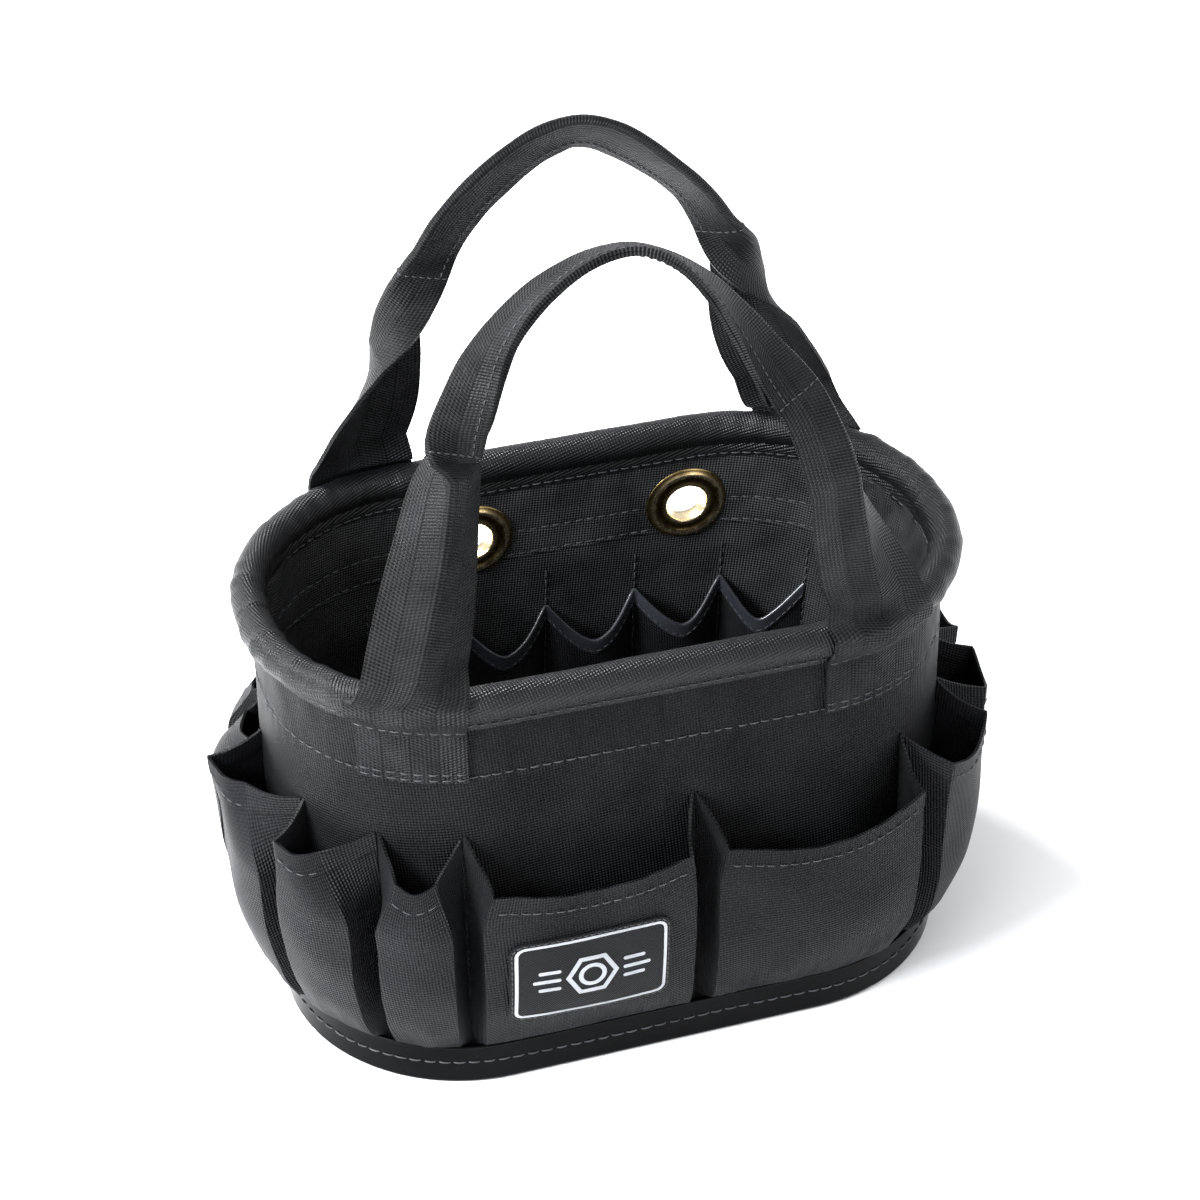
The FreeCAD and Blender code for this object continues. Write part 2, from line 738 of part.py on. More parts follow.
def inner_starts():
    """Side, number and starting run of every inner pocket."""
    for side in INNER_ROWS:
        for number in range(INNER_COUNT):
            yield side, number + 1, inner_start(side) + number * size("inner_width")


def inner_pockets():
    """Flat pockets on the lining, with scalloped edges."""
    items = []
    levels = [size("inner_bottom"), *INNER_LEVELS]
    drops = [size("binding_width"), 0]
    for side, number, start in inner_starts():
        front, back = thicken(inner_grid(start, levels, drops), size("inner_thick"))
        items.append(fabric(f"inner_pocket_{side}_{number}", closed_solid(front, back)))
    return items


def inner_bindings():
    """Tape along the scalloped edges of each row, one length per row."""
    stand_off = size("inner_thick") / 2 + BINDING_CLEAR + size("binding_thick") / 2
    drops = [size("binding_width"), 0]
    lengths = {side: [] for side in INNER_ROWS}
    for side, _, start in inner_starts():
        _, middle = thicken(inner_grid(start, [], drops), 2 * stand_off)
        front, back = thicken(middle, size("binding_thick"))
        lengths[side].append(closed_solid(front, back))
    return [
        fabric(f"inner_binding_{side}", Part.makeCompound(solids))
        for side, solids in lengths.items()
    ]


# ---------------------------------------------------------------- strap tabs and handles

def tab(label_text, side, middle):
    """Webbing sewn to the wall, over the outside of the rim and up to the hinge line."""
    outward = -1 if side == "front" else 1
    centre_run = middle if side == "front" else half_turn() - middle
    half = size("web_width") / 2
    thick = size("web_thick")
    out = size("web_clear") + thick / 2
    tube = size("rim_radius") + size("web_clear")
    shares = [2 * step / TAB_STEPS - 1 for step in range(TAB_STEPS + 1)]
    grid = [
        [wall_point(centre_run + half * share, height, out) for share in shares]
        for height in (size("tab_bottom"), TAB_WALL_TOP)
    ]
    grid += [
        [rim_point(centre_run + half * share, size("rim_height") + rise, tube * side_share + thick / 2)
         for share in shares]
        for rise, side_share in TAB_OVER_RIM
    ]
    foot = grid[-1]
    top_height = size("hinge_height") - size("hinge_gap")
    top = [
        FreeCAD.Vector(
            HINGE_MIDDLES[label_text] - outward * share * half,
            outward * size("hinge_width"), top_height)
        for share in shares
    ]
    grid.append([(low + high) / 2 for low, high in zip(foot, top)])
    grid.append(top)
    front, back = thicken(grid, thick)
    return fabric(label_text, closed_solid(front, back))


def handle(label_text, side, stations):
    """One length of webbing from tab to tab, folded in half along the grip."""
    outward = -1 if side == "front" else 1
    lean = math.radians(size("handle_lean"))
    up = FreeCAD.Vector(0, -outward * math.sin(lean), math.cos(lean))
    across = FreeCAD.Vector(0, outward * math.cos(lean), math.sin(lean))
    foot = FreeCAD.Vector(0, outward * size("hinge_width"), size("hinge_height"))
    points = [foot + FreeCAD.Vector(x, 0, 0) + up * rise for x, rise, _, _ in stations]
    curve = Part.BSplineCurve()
    curve.interpolate(points)
    knots = [curve.parameter(point) for point in points]
    sections = []
    for number in range(HANDLE_STEPS + 1):
        value = knots[0] + (knots[-1] - knots[0]) * number / HANDLE_STEPS
        span = max(index for index in range(len(knots) - 1) if knots[index] <= value + 1e-9)
        share = (value - knots[span]) / (knots[span + 1] - knots[span])
        width, turn = (
            before * (1 - share) + after * share
            for before, after in zip(stations[span][2:], stations[span + 1][2:]))
        centre = curve.value(value)
        run = FreeCAD.Vector(*curve.tangent(value)[0])
        settled = min((centre - foot).dot(up) / FOOT_HEIGHT, 1.0)
        upright = up if run.dot(up) > 0 else up * -1
        along = (upright * (1 - settled) + run * settled).normalize()
        centre = centre + up * (size("hinge_gap") * (1 - settled))
        open_share = (width - size("grip_width")) / (size("web_width") - size("grip_width"))
        doubled = 1 - max(open_share, 0) ** OPENING_OUT
        thick = size("web_thick") + (size("grip_thick") - size("web_thick")) * doubled
        in_plane = across.cross(along) * -outward
        turned_by = math.radians(turn)
        wide = in_plane * math.cos(turned_by) + across * math.sin(turned_by)
        deep = across * math.cos(turned_by) - in_plane * math.sin(turned_by)
        sections.append([
            centre + wide * (a * width / 2) + deep * (b * thick / 2)
            for a, b in ((-1, -1), (1, -1), (1, 1), (-1, 1))
        ])
    return fabric(label_text, ribbon(sections))


HINGE_MIDDLES = {
    "tab_front_left": FRONT_HANDLE[0][0],
    "tab_front_right": FRONT_HANDLE[-1][0],
    "tab_rear_left": REAR_HANDLE[0][0],
    "tab_rear_right": REAR_HANDLE[-1][0],
}


def build():
    fill_sheet()
    items = [base_tray(), base_board()]
    items += walls()
    items += rim()
    items += grommets()
    items += outer_pockets()
    items.append(label())
    items += inner_pockets()
    items += inner_bindings()
    items += [tab(name, side, middle) for name, (side, middle) in TABS.items()]
    items.append(handle("handle_front", "front", FRONT_HANDLE))
    items.append(handle("handle_rear", "rear", REAR_HANDLE))
    DOC.recompute()
    return items


def check(items):
    """Stop at any object that failed to recompute or any sub-part without a valid solid."""
    for item in DOC.Objects:
        if "Invalid" in item.State or "Error" in item.State:
            raise RuntimeError(f"{item.Label} did not recompute: {item.State}")
    for item in items:
        if item.Shape.isNull() or not item.Shape.isValid() or not item.Shape.Solids:
            raise RuntimeError(f"{item.Label} has no valid solid")


def export(items):
    os.makedirs("parts", exist_ok=True)
    for item in items:
        item.Shape.exportStep(f"parts/{item.Label}.step")


PARTS = build()
check(PARTS)
export(PARTS)
print(len(PARTS), "sub-parts, total volume", round(sum(p.Shape.Volume for p in PARTS)), "mm3")
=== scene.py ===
import math

import bpy
import numpy as np
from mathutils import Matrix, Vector


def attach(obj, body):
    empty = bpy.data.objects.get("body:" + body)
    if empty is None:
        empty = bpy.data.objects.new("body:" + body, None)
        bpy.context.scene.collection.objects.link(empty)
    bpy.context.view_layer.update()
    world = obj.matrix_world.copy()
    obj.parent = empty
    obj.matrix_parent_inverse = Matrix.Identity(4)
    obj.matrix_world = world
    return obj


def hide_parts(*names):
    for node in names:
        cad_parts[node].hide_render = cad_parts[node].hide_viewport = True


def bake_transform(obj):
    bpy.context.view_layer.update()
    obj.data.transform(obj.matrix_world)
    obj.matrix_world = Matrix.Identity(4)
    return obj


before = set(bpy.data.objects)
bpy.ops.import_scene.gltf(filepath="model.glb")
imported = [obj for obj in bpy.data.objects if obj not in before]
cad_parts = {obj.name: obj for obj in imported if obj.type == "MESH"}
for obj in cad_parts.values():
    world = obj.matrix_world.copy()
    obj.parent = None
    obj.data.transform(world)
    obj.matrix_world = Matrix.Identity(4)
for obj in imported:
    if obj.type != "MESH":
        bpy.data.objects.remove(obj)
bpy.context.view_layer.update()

# Lengths are in mm until a mesh is made.
MM = 0.001

# ---- outlines shared with the frame

# Half length, half width and corner radius of the wall's outer face at its foot and its top, of
# the rim's centre line and of the tray
WALL_BASE = (185.3, 118.4, 97.2)
WALL_TOP = (187.0, 103.8, 100.0)
RIM = (188.0, 105.0, 101.0)
TRAY = (188.3, 121.4, 100.2)
WALL_LOW, WALL_HIGH = 3.0, 231.5
RIM_HEIGHT = 242.6
# Share of the wall's height, and mm outside it, at which runs round the bucket are true lengths
RUN_RISE, RUN_OUT = 0.71, 1.56


def run_lengths():
    """Runs along half the front, half of one end and one corner."""
    half_x, half_y, corner = (
        low * (1 - RUN_RISE) + high * RUN_RISE + RUN_OUT for low, high in zip(WALL_BASE, WALL_TOP))
    return half_x - corner, half_y - corner, corner * math.pi / 2


LONG, SHORT, QUARTER = run_lengths()
HALF_TURN = 2 * (LONG + SHORT + QUARTER)
STRETCHES = np.array([
    (LONG, 0, -1, 0), (QUARTER, 1, -1, -90), (2 * SHORT, 1, 0, -SHORT), (QUARTER, 1, 1, 0),
    (2 * LONG, 0, 1, -LONG), (QUARTER, -1, 1, 90), (2 * SHORT, -1, 0, -SHORT),
    (QUARTER, -1, -1, 180), (LONG + 1, 0, -1, -LONG),
])
STRETCH_ENDS = np.cumsum(STRETCHES[:, 0])


def outline(run, half_x, half_y, corner):
    """Points of a rounded rectangle at runs from the front's middle, and outward normals."""
    run = np.mod(run, 2 * HALF_TURN)
    index = np.searchsorted(STRETCH_ENDS, run)
    length, side_x, side_y, start = (STRETCHES[index, column] for column in range(4))
    left = run - (STRETCH_ENDS[index] - length)
    round_part = (side_x != 0) & (side_y != 0)
    angle = np.where(
        round_part, np.radians(start + 90 * left / QUARTER), np.arctan2(side_y, side_x))
    normal_x, normal_y = np.cos(angle), np.sin(angle)
    flat_x, flat_y = half_x - corner, half_y - corner
    slide = (start + left) * np.where(side_x != 0, flat_y / SHORT, flat_x / LONG)
    x = np.where(round_part, side_x * flat_x + normal_x * corner, side_x * half_x - side_y * slide)
    y = np.where(round_part, side_y * flat_y + normal_y * corner, side_y * half_y + side_x * slide)
    return x, y, normal_x, normal_y


def placed(run, z, out, sizes):
    """Points at runs and heights, `out` mm outside an outline of those sizes."""
    run, z, out = np.broadcast_arrays(*(np.asarray(v, float) for v in (run, z, out)))
    x, y, normal_x, normal_y = outline(run, *sizes)
    return np.stack([x + normal_x * out, y + normal_y * out, z], -1)


def wall(run, z, out=0.0):
    """Points `out` mm outside the wall's outer face."""
    z = np.asarray(z, float)
    rise = (z - WALL_LOW) / (WALL_HIGH - WALL_LOW)
    sizes = [low * (1 - rise) + high * rise for low, high in zip(WALL_BASE, WALL_TOP)]
    shape = np.broadcast(np.asarray(run), z, np.asarray(out)).shape
    return placed(run, z, out, [np.broadcast_to(size, shape) for size in sizes])


def rim(run, angle, radius):
    """Points round the rim's tube; angle 0 points out of the bucket and 90 degrees up."""
    return placed(run, RIM_HEIGHT + radius * np.sin(angle), radius * np.cos(angle), RIM)


def outward(run):
    """Outward normals of the wall at runs."""
    _, _, x, y = outline(np.asarray(run, float), *WALL_TOP)
    return np.stack([x, y, np.zeros_like(x)], -1)


def ripple(u, v, wave, seed, count=7):
    """Smooth random waviness of about one unit, its waves about `wave` mm long."""
    random = np.random.default_rng(seed)
    total = np.zeros(np.broadcast(u, v).shape)
    for _ in range(count):
        turn = random.uniform(0, 2 * math.pi)
        length = wave * random.uniform(0.65, 1.6)
        wave_u, wave_v = np.cos(turn) / length, np.sin(turn) / length
        total = total + np.sin(2 * math.pi * (u * wave_u + v * wave_v) + random.uniform(0, 6.3))
    return total / math.sqrt(count)


def near(value, middle, spread):
    """Bell curve: 1 at the middle, fading over the spread."""
    return np.exp(-((value - middle) / spread) ** 2)


def step(value, low, high):
    """Smooth rise from 0 at low to 1 at high."""
    share = np.clip((value - low) / (high - low), 0, 1)
    return share * share * (3 - 2 * share)


def unit(vectors):
    """Vectors at length 1."""
    return vectors / np.maximum(np.linalg.norm(vectors, axis=-1, keepdims=True), 1e-9)


def distances(points):
    """Distance of each point along the line through them."""
    return np.concatenate([[0], np.cumsum(np.linalg.norm(np.diff(points, axis=0), axis=1))])


def added(name, data):
    """A new object in the scene."""
    made = bpy.data.objects.new(name, data)
    bpy.context.scene.collection.objects.link(made)
    return made


# ---- materials

def node(tree, kind, settings=None, **inputs):
    """A shader node; an input is a constant, a node or a socket."""
    made = tree.nodes.new(kind)
    for name, value in (settings or {}).items():
        setattr(made, name, value)
    for name, value in inputs.items():
        socket = made.inputs[int(name[1:]) if name[0] == "i" else name.replace("_", " ")]
        if isinstance(value, bpy.types.Node):
            tree.links.new(value.outputs[0], socket)
        elif isinstance(value, bpy.types.NodeSocket):
            tree.links.new(value, socket)
        else:
            socket.default_value = value
    return made


def math_node(tree, operation, first, second=0.0, third=0.0):
    """A Math node; its inputs are constants, nodes or sockets."""
    return node(tree, "ShaderNodeMath", {"operation": operation}, i0=first, i1=second, i2=third)


def ramp(tree, factor, stops):
    """Colour ramp through (position, colour) stops."""
    made = node(tree, "ShaderNodeValToRGB", i0=factor)
    elements = made.color_ramp.elements
    while len(elements) < len(stops):
        elements.new(0.5)
    for element, (position, colour) in zip(elements, stops):
        element.position = position
        element.color = (*colour, 1.0)
    return made


def new_material(name):
    """A material with its node tree and its Principled shader."""
    material = bpy.data.materials.new(name)
    material.use_nodes = True
    return material, material.node_tree, material.node_tree.nodes["Principled BSDF"]


def cloth_map(tree, scale=1.0, turn=0.0):
    """The cloth's own measure in mm, scaled and turned."""
    measure = node(tree, "ShaderNodeUVMap", {"uv_map": "cloth"})
    return node(
        tree, "ShaderNodeMapping", Vector=measure, Scale=(scale,) * 3,
        Rotation=(0, 0, math.radians(turn)))


def noise(tree, vector, scale, detail=3.0):
    """A Noise Texture."""
    return node(tree, "ShaderNodeTexNoise", i0=vector, Scale=scale, Detail=detail)


def finish_surface(tree, surface, colour, rough, height, depth):
    """Joins colour, roughness and bump to a Principled shader."""
    bump = node(tree, "ShaderNodeBump", Strength=1.0, Distance=depth * MM, Height=height)
    for made, socket in ((colour, "Base Color"), (rough, "Roughness"), (bump, "Normal")):
        tree.links.new(made.outputs[0], surface.inputs[socket])


def soften(surface, shine):
    """The faint blue sheen of nylon, and how much it shines."""
    surface.inputs["Sheen Weight"].default_value = 0.006
    surface.inputs["Sheen Roughness"].default_value = 0.35
    surface.inputs["Sheen Tint"].default_value = (0.78, 0.86, 1.0, 1.0)
    surface.inputs["Specular IOR Level"].default_value = shine


def woven(name, dark, light, pitch=2.4, turn=40.0, rough=0.44, depth=0.36, shine=0.1):
    """Woven nylon: basket weave with painted highlights on its thread tops, uneven dye, soft sheen
    and slight rubbed wear.
    """
    material, tree, surface = new_material(name)
    yarns = node(tree, "ShaderNodeSeparateXYZ", i0=cloth_map(tree, 2 * math.pi / pitch, turn))
    warp = math_node(tree, "SINE", yarns.outputs[0])
    weft = math_node(tree, "SINE", yarns.outputs[1])
    weave = math_node(tree, "MULTIPLY", warp, weft)
    measure = cloth_map(tree)
    broad = noise(tree, measure, 0.035)
    grain = noise(tree, measure, 1.1, 2.0)
    worn = math_node(tree, "MULTIPLY", broad, 0.6)
    fleck = math_node(tree, "MULTIPLY", grain, 0.35)
    # Painted highlight: the weave's raised thread tops are coloured lighter, as if catching the
    # light.
    lit = math_node(tree, "MULTIPLY_ADD", weave, 0.3, -0.04)
    tone = math_node(tree, "ADD", math_node(tree, "ADD", worn, fleck), lit)
    colour = ramp(tree, tone, [(0.2, dark), (0.8, light)])
    roughness = math_node(tree, "MULTIPLY_ADD", broad, 0.25, rough - 0.12)
    height = math_node(tree, "MULTIPLY_ADD", grain, 0.5, weave)
    finish_surface(tree, surface, colour, roughness, height, depth)
    soften(surface, shine)
    return material


def ribbed(name, dark, light, pitch=1.7, band=14.25):
    """Webbing: ribs that slope to and fro in four bands, with dotted lines between them."""
    material, tree, surface = new_material(name)
    measure = cloth_map(tree)
    split = node(tree, "ShaderNodeSeparateXYZ", i0=measure)
    slope = math_node(tree, "PINGPONG", split.outputs[0], band)
    slope = math_node(tree, "MULTIPLY", slope, 0.35)
    rib = math_node(tree, "ADD", slope, split.outputs[1])
    rib = math_node(tree, "SINE", math_node(tree, "MULTIPLY", rib, 2 * math.pi / pitch))
    yarn = math_node(tree, "SINE", math_node(tree, "MULTIPLY", split.outputs[0], 2 * math.pi / 2.1))
    edge = math_node(tree, "PINGPONG", split.outputs[0], band / 2)
    edge = math_node(tree, "LESS_THAN", edge, 0.55)
    dots = math_node(tree, "MULTIPLY", edge, -0.8)
    weave = math_node(tree, "MULTIPLY_ADD", yarn, 0.5, rib)
    height = math_node(tree, "ADD", weave, dots)
    broad = noise(tree, measure, 0.05)
    grain = noise(tree, measure, 1.3, 2.0)
    tone = math_node(tree, "MULTIPLY_ADD", height, 0.22, broad)
    tone = math_node(tree, "ADD", tone, math_node(tree, "MULTIPLY", grain, 0.25))
    colour = ramp(tree, tone, [(0.3, dark), (0.95, light)])
    roughness = math_node(tree, "MULTIPLY_ADD", broad, 0.2, 0.34)
    finish_surface(tree, surface, colour, roughness, height, 0.35)
    soften(surface, 0.12)
    return material


def plain(name, dark, light, rough, depth, metal=0.0, coat=0.0, scale=300.0, spread=0.2,
          shine=0.5):
    """Moulded or drawn surface: fine grain, faint scratches and uneven tone."""
    material, tree, surface = new_material(name)
    place = node(tree, "ShaderNodeTexCoord").outputs["Object"]
    broad = noise(tree, place, scale * 0.08)
    grain = noise(tree, place, scale * 4, 4.0)
    stretched = node(tree, "ShaderNodeMapping", Vector=place, Scale=(1.0, 1.0, 9.0))
    scratch = noise(tree, stretched, scale, 6.0)
    colour = ramp(tree, broad, [(0.35, dark), (0.7, light)])
    marks = math_node(tree, "ADD", math_node(tree, "MULTIPLY", scratch, 0.6), grain)
    roughness = math_node(tree, "MULTIPLY_ADD", scratch, spread, rough - spread / 2)
    finish_surface(tree, surface, colour, roughness, marks, depth)
    surface.inputs["Metallic"].default_value = metal
    surface.inputs["Coat Weight"].default_value = coat
    surface.inputs["Coat Roughness"].default_value = 0.08
    surface.inputs["Specular IOR Level"].default_value = shine
    return material


def brass(name):
    """Antique brass: bright where it stands proud and rubbed, brown in the hollows."""
    material, tree, surface = new_material(name)
    measure = cloth_map(tree)
    split = node(tree, "ShaderNodeSeparateXYZ", i0=measure)
    radius = node(
        tree, "ShaderNodeMapRange", i0=split.outputs[1], i1=11.0, i2=25.0, i3=0.0, i4=1.0)
    patina = noise(tree, measure, 0.25, 5.0)
    shift = math_node(tree, "MULTIPLY_ADD", patina, 0.12, radius)
    dark, warm, bright = (0.15, 0.105, 0.045), (0.42, 0.31, 0.14), (0.88, 0.73, 0.45)
    colour = ramp(tree, shift, [
        (0.0, bright), (0.2, bright), (0.29, warm), (0.36, dark), (0.6, dark), (0.68, bright),
        (0.76, bright), (0.82, warm), (0.94, dark), (1.0, warm)])
    roughness = math_node(tree, "MULTIPLY_ADD", patina, 0.35, 0.1)
    grain = noise(tree, measure, 2.0, 4.0)
    finish_surface(tree, surface, colour, roughness, grain, 0.04)
    surface.inputs["Metallic"].default_value = 1.0
    return material


SHELL = woven("shell_cloth", (0.0012, 0.0012, 0.0014), (0.012, 0.0122, 0.013))
LINING = woven("lining_cloth", (0.004, 0.004, 0.0043), (0.05, 0.0503, 0.052))
ROLL = woven(
    "rim_cloth", (0.0012, 0.0012, 0.0014), (0.007, 0.0071, 0.0075), turn=30.0, rough=0.36,
    depth=0.22, shine=0.26)
POCKET = woven("pocket_cloth", (0.0014, 0.0014, 0.0017), (0.0145, 0.0149, 0.0165))
# A darker copy of the pocket cloth: painted shade for the front's right pocket, which faces away
# from the lamps.
POCKET_PAINTED_SHADE = woven("pocket_cloth_dark", (0.001, 0.001, 0.0012), (0.009, 0.0092, 0.0098))
INNER = woven("inner_cloth", (0.002, 0.002, 0.0023), (0.022, 0.0223, 0.0235))
BADGE = woven(
    "badge_cloth", (0.003, 0.003, 0.0035), (0.012, 0.012, 0.0132), pitch=1.8, turn=0.0, depth=0.1)
WEB = ribbed("webbing_ribs", (0.0016, 0.0016, 0.0018), (0.02, 0.0203, 0.0215))
GLOSS = plain(
    "tray_gloss", (0.0012, 0.0012, 0.0014), (0.0028, 0.0028, 0.003), 0.16, 0.02, shine=0.05)
MATTE = plain("board_matte", (0.014, 0.014, 0.015), (0.026, 0.026, 0.028), 0.6, 0.08)
SHEET = plain("stiffener_matte", (0.04, 0.04, 0.04), (0.06, 0.06, 0.06), 0.55, 0.05)
TUBE = plain("tube_matte", (0.02, 0.02, 0.02), (0.035, 0.035, 0.035), 0.45, 0.04)
VINYL = plain(
    "binding_vinyl", (0.014, 0.015, 0.019), (0.034, 0.037, 0.044), 0.26, 0.05, coat=0.3)
THREAD = plain("thread_twist", (0.018, 0.019, 0.021), (0.045, 0.047, 0.052), 0.55, 0.1, scale=900.0)
SILVER = plain("badge_silver", (0.3, 0.31, 0.33), (0.46, 0.47, 0.5), 0.4, 0.04, metal=0.55)
BRASS = brass("antique_brass")

# ---- meshes

def piece(name, points, faces, cloth, material, slot, body="bucket", replaces=(), sharp=40.0):
    """One shown piece, riding a body of the frame."""
    used, faces = np.unique(faces, return_inverse=True)
    mesh = bpy.data.meshes.new(name)
    mesh.from_pydata((points[used] * MM).tolist(), [], faces.reshape(-1, 4).tolist())
    layer = mesh.uv_layers.new(name="cloth")
    layer.data.foreach_set("uv", np.ascontiguousarray(cloth, np.float32).reshape(-1))
    mesh.polygons.foreach_set("use_smooth", np.ones(len(mesh.polygons), bool))
    mesh.set_sharp_from_angle(angle=math.radians(sharp))
    mesh.materials.append(material)
    made = added(name, mesh)
    if body:
        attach(made, body)
    if replaces:
        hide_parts(*replaces)
    return made


def normals(middle, ring=False):
    """Unit normals of a grid of points."""
    if ring:
        across = np.roll(middle, -1, 1) - np.roll(middle, 1, 1)
    else:
        across = np.gradient(middle, axis=1)
    return unit(np.cross(across, np.gradient(middle, axis=0)))


def measured(middle, ring=False):
    """Lengths in mm across and up a grid, for its weave."""
    row = middle[len(middle) // 2]
    if ring:
        row = np.concatenate([row, row[:1]])
    return np.stack(np.meshgrid(distances(row), distances(middle[:, middle.shape[1] // 2])), -1)


def sheet_faces(middle, thick, ring=False, keep=None, cloth=None):
    """Points, faces and weave measure of a sheet with its thickness either side of a grid."""
    rows, columns = middle.shape[:2]
    cells = columns if ring else columns - 1
    half = normals(middle, ring) * (np.broadcast_to(thick, (rows, columns))[..., None] / 2)
    points = np.concatenate([(middle + half).reshape(-1, 3), (middle - half).reshape(-1, 3)])
    kept = np.ones((rows - 1, cells), bool) if keep is None else keep
    cloth = measured(middle, ring) if cloth is None else cloth
    row, column = np.nonzero(kept)
    following = (column + 1) % columns
    corners = np.stack([
        row * columns + column, row * columns + following,
        (row + 1) * columns + following, (row + 1) * columns + column], 1)
    laid = np.stack([
        cloth[row, column], cloth[row, column + 1],
        cloth[row + 1, column + 1], cloth[row + 1, column]], 1)
    back = rows * columns
    faces = [corners, corners[:, ::-1] + back]
    measures = [laid, laid[:, ::-1]]
    around = np.pad(kept, 1)
    if ring:
        around[:, 0], around[:, -1] = around[:, -2], around[:, 1].copy()
    for (down, over), (first, second) in (
            ((-1, 0), (0, 1)), ((0, 1), (1, 2)), ((1, 0), (2, 3)), ((0, -1), (3, 0))):
        beside = around[1 + down:rows + down, 1 + over:1 + over + cells]
        edge = ~beside[row, column]
        start, end = corners[edge, first], corners[edge, second]
        faces.append(np.stack([end, start, start + back, end + back], 1))
        measures.append(laid[edge][:, [second, first, first, second]])
    return points, np.concatenate(faces), np.concatenate(measures)


def tube_faces(rows, columns):
    """Corner numbers of a closed tube's faces: rows round it, columns along it and back."""
    row, column = (index.reshape(-1) for index in np.indices((rows, columns)))
    below, beside = (row + 1) % rows * columns, (column + 1) % columns
    return row, column, np.stack(
        [row * columns + column, below + column, below + beside, row * columns + beside], 1)


def joined(parts):
    """Several (points, faces, measure) sets as one."""
    points, faces, measures, count = [], [], [], 0
    for part_points, part_faces, part_measure in parts:
        points.append(part_points)
        faces.append(part_faces + count)
        measures.append(part_measure)
        count += len(part_points)
    return np.concatenate(points), np.concatenate(faces), np.concatenate(measures)


def sheet(name, middle, thick, material, slot, **options):
    """A sheet as a shown piece."""
    shape = {key: options.pop(key) for key in ("ring", "keep", "cloth") if key in options}
    return piece(name, *sheet_faces(middle, thick, **shape), material, slot, **options)


def along_line(distance, at, values):
    """Values with three columns, read off at distances along a line."""
    return np.stack([np.interp(distance, at, values[:, axis]) for axis in range(3)], -1)


STITCH_RINGS = np.array([-1.0, -0.8, -0.35, 0.35, 0.8, 1.0])
STITCH_SIDES = 6


def stitches(points, stand, pitch=6.5, length=5.4, radius=0.42, seed=0):
    """Threads that surface and dive along a line of points, `stand` being the cloth's normals."""
    at = distances(points)
    count = max(int(at[-1] // pitch), 1)
    random = np.random.default_rng(seed)
    middles = (np.arange(count) + 0.5) * at[-1] / count + random.normal(0, 0.035 * pitch, count)
    reach = length / 2 * (1 + random.normal(0, 0.05, count))
    distance = middles[:, None] + reach[:, None] * STITCH_RINGS
    up = unit(along_line(distance, at, stand))
    arch = 0.55 * radius - 1.5 * radius * np.abs(STITCH_RINGS) ** 3
    centre = along_line(distance, at, points) + up * arch[:, None]
    side = np.cross(unit(np.gradient(centre, axis=1)), up)
    slant = random.normal(0, 0.12, count)[:, None, None] * STITCH_RINGS[:, None] * radius * 2
    centre = centre + side * slant
    girth = radius * (1 - 0.45 * np.abs(STITCH_RINGS) ** 4)
    turn = np.arange(STITCH_SIDES) * 2 * math.pi / STITCH_SIDES
    ring = (side[:, :, None] * np.cos(turn)[:, None] + up[:, :, None] * np.sin(turn)[:, None])
    verts = centre[:, :, None] + ring * girth[:, None, None]
    rings = len(STITCH_RINGS)
    low = np.arange(rings - 1)[:, None] * STITCH_SIDES + np.arange(STITCH_SIDES)
    turned = np.arange(rings - 1)[:, None] * STITCH_SIDES + np.roll(np.arange(STITCH_SIDES), -1)
    tube = np.stack([low, low + STITCH_SIDES, turned + STITCH_SIDES, turned], -1).reshape(-1, 4)
    last = (rings - 1) * STITCH_SIDES
    caps = np.array([
        (0, 1, 2, 3), (0, 3, 4, 5), (last + 3, last + 2, last + 1, last),
        (last + 5, last + 4, last + 3, last)])
    single = np.concatenate([tube, caps])
    faces = (np.arange(count)[:, None, None] * rings * STITCH_SIDES + single).reshape(-1, 4)
    measure = np.zeros((len(faces), 4, 2))
    return verts.reshape(-1, 3), faces, measure


def threads(name, seams, slot, body="bucket"):
    """All the stitches of several seams as one piece of thread work."""
    return piece(name, *joined(seams), THREAD, slot, body=body, sharp=60.0)


# ---- wall, lining and rim

WALL_THICK = 3.4
GROMMET_HEIGHT, HOLE_CLEAR, FLANGE_CLEAR = 197.5, 16.5, 25.5


def grommet_frame(x, swing):
    """Centre and axes of a grommet; the third axis points out of the bucket."""
    lean = math.atan2(WALL_BASE[1] - WALL_TOP[1], WALL_HIGH - WALL_LOW)
    rise = (GROMMET_HEIGHT - WALL_LOW) / (WALL_HIGH - WALL_LOW)
    y = WALL_BASE[1] * (1 - rise) + WALL_TOP[1] * rise - WALL_THICK / 2
    turn = math.radians(swing)
    spin = np.array([
        (math.cos(turn), -math.sin(turn), 0), (math.sin(turn), math.cos(turn), 0), (0, 0, 1)])
    axes = [(1, 0, 0), (0, math.sin(lean), -math.cos(lean)), (0, math.cos(lean), math.sin(lean))]
    return np.array([x, y, GROMMET_HEIGHT]), [spin @ np.array(axis) for axis in axes]


GROMMETS = {"left": grommet_frame(-44.0, 0.0), "right": grommet_frame(84.0, -2.4)}


def clear_of_grommets(middle):
    """Which cells of a wall grid lie outside the grommets' holes."""
    cells = (middle[:-1, :] + middle[1:, :]) / 2
    cells = (cells + np.roll(cells, -1, 1)) / 2
    kept = np.ones(cells.shape[:2], bool)
    for centre, (_, _, axis) in GROMMETS.values():
        offset = cells - centre
        depth = offset @ axis
        away = np.linalg.norm(offset - depth[..., None] * axis, axis=-1)
        kept &= (away > HOLE_CLEAR) | (np.abs(depth) > 30)
    return kept


ROUND_STEPS = 500
ROUND = np.arange(ROUND_STEPS) * 2 * HALF_TURN / ROUND_STEPS
UPPER_SEAM, LOWER_SEAM = 230.0, 198.0
FACING_LOW = 179.0


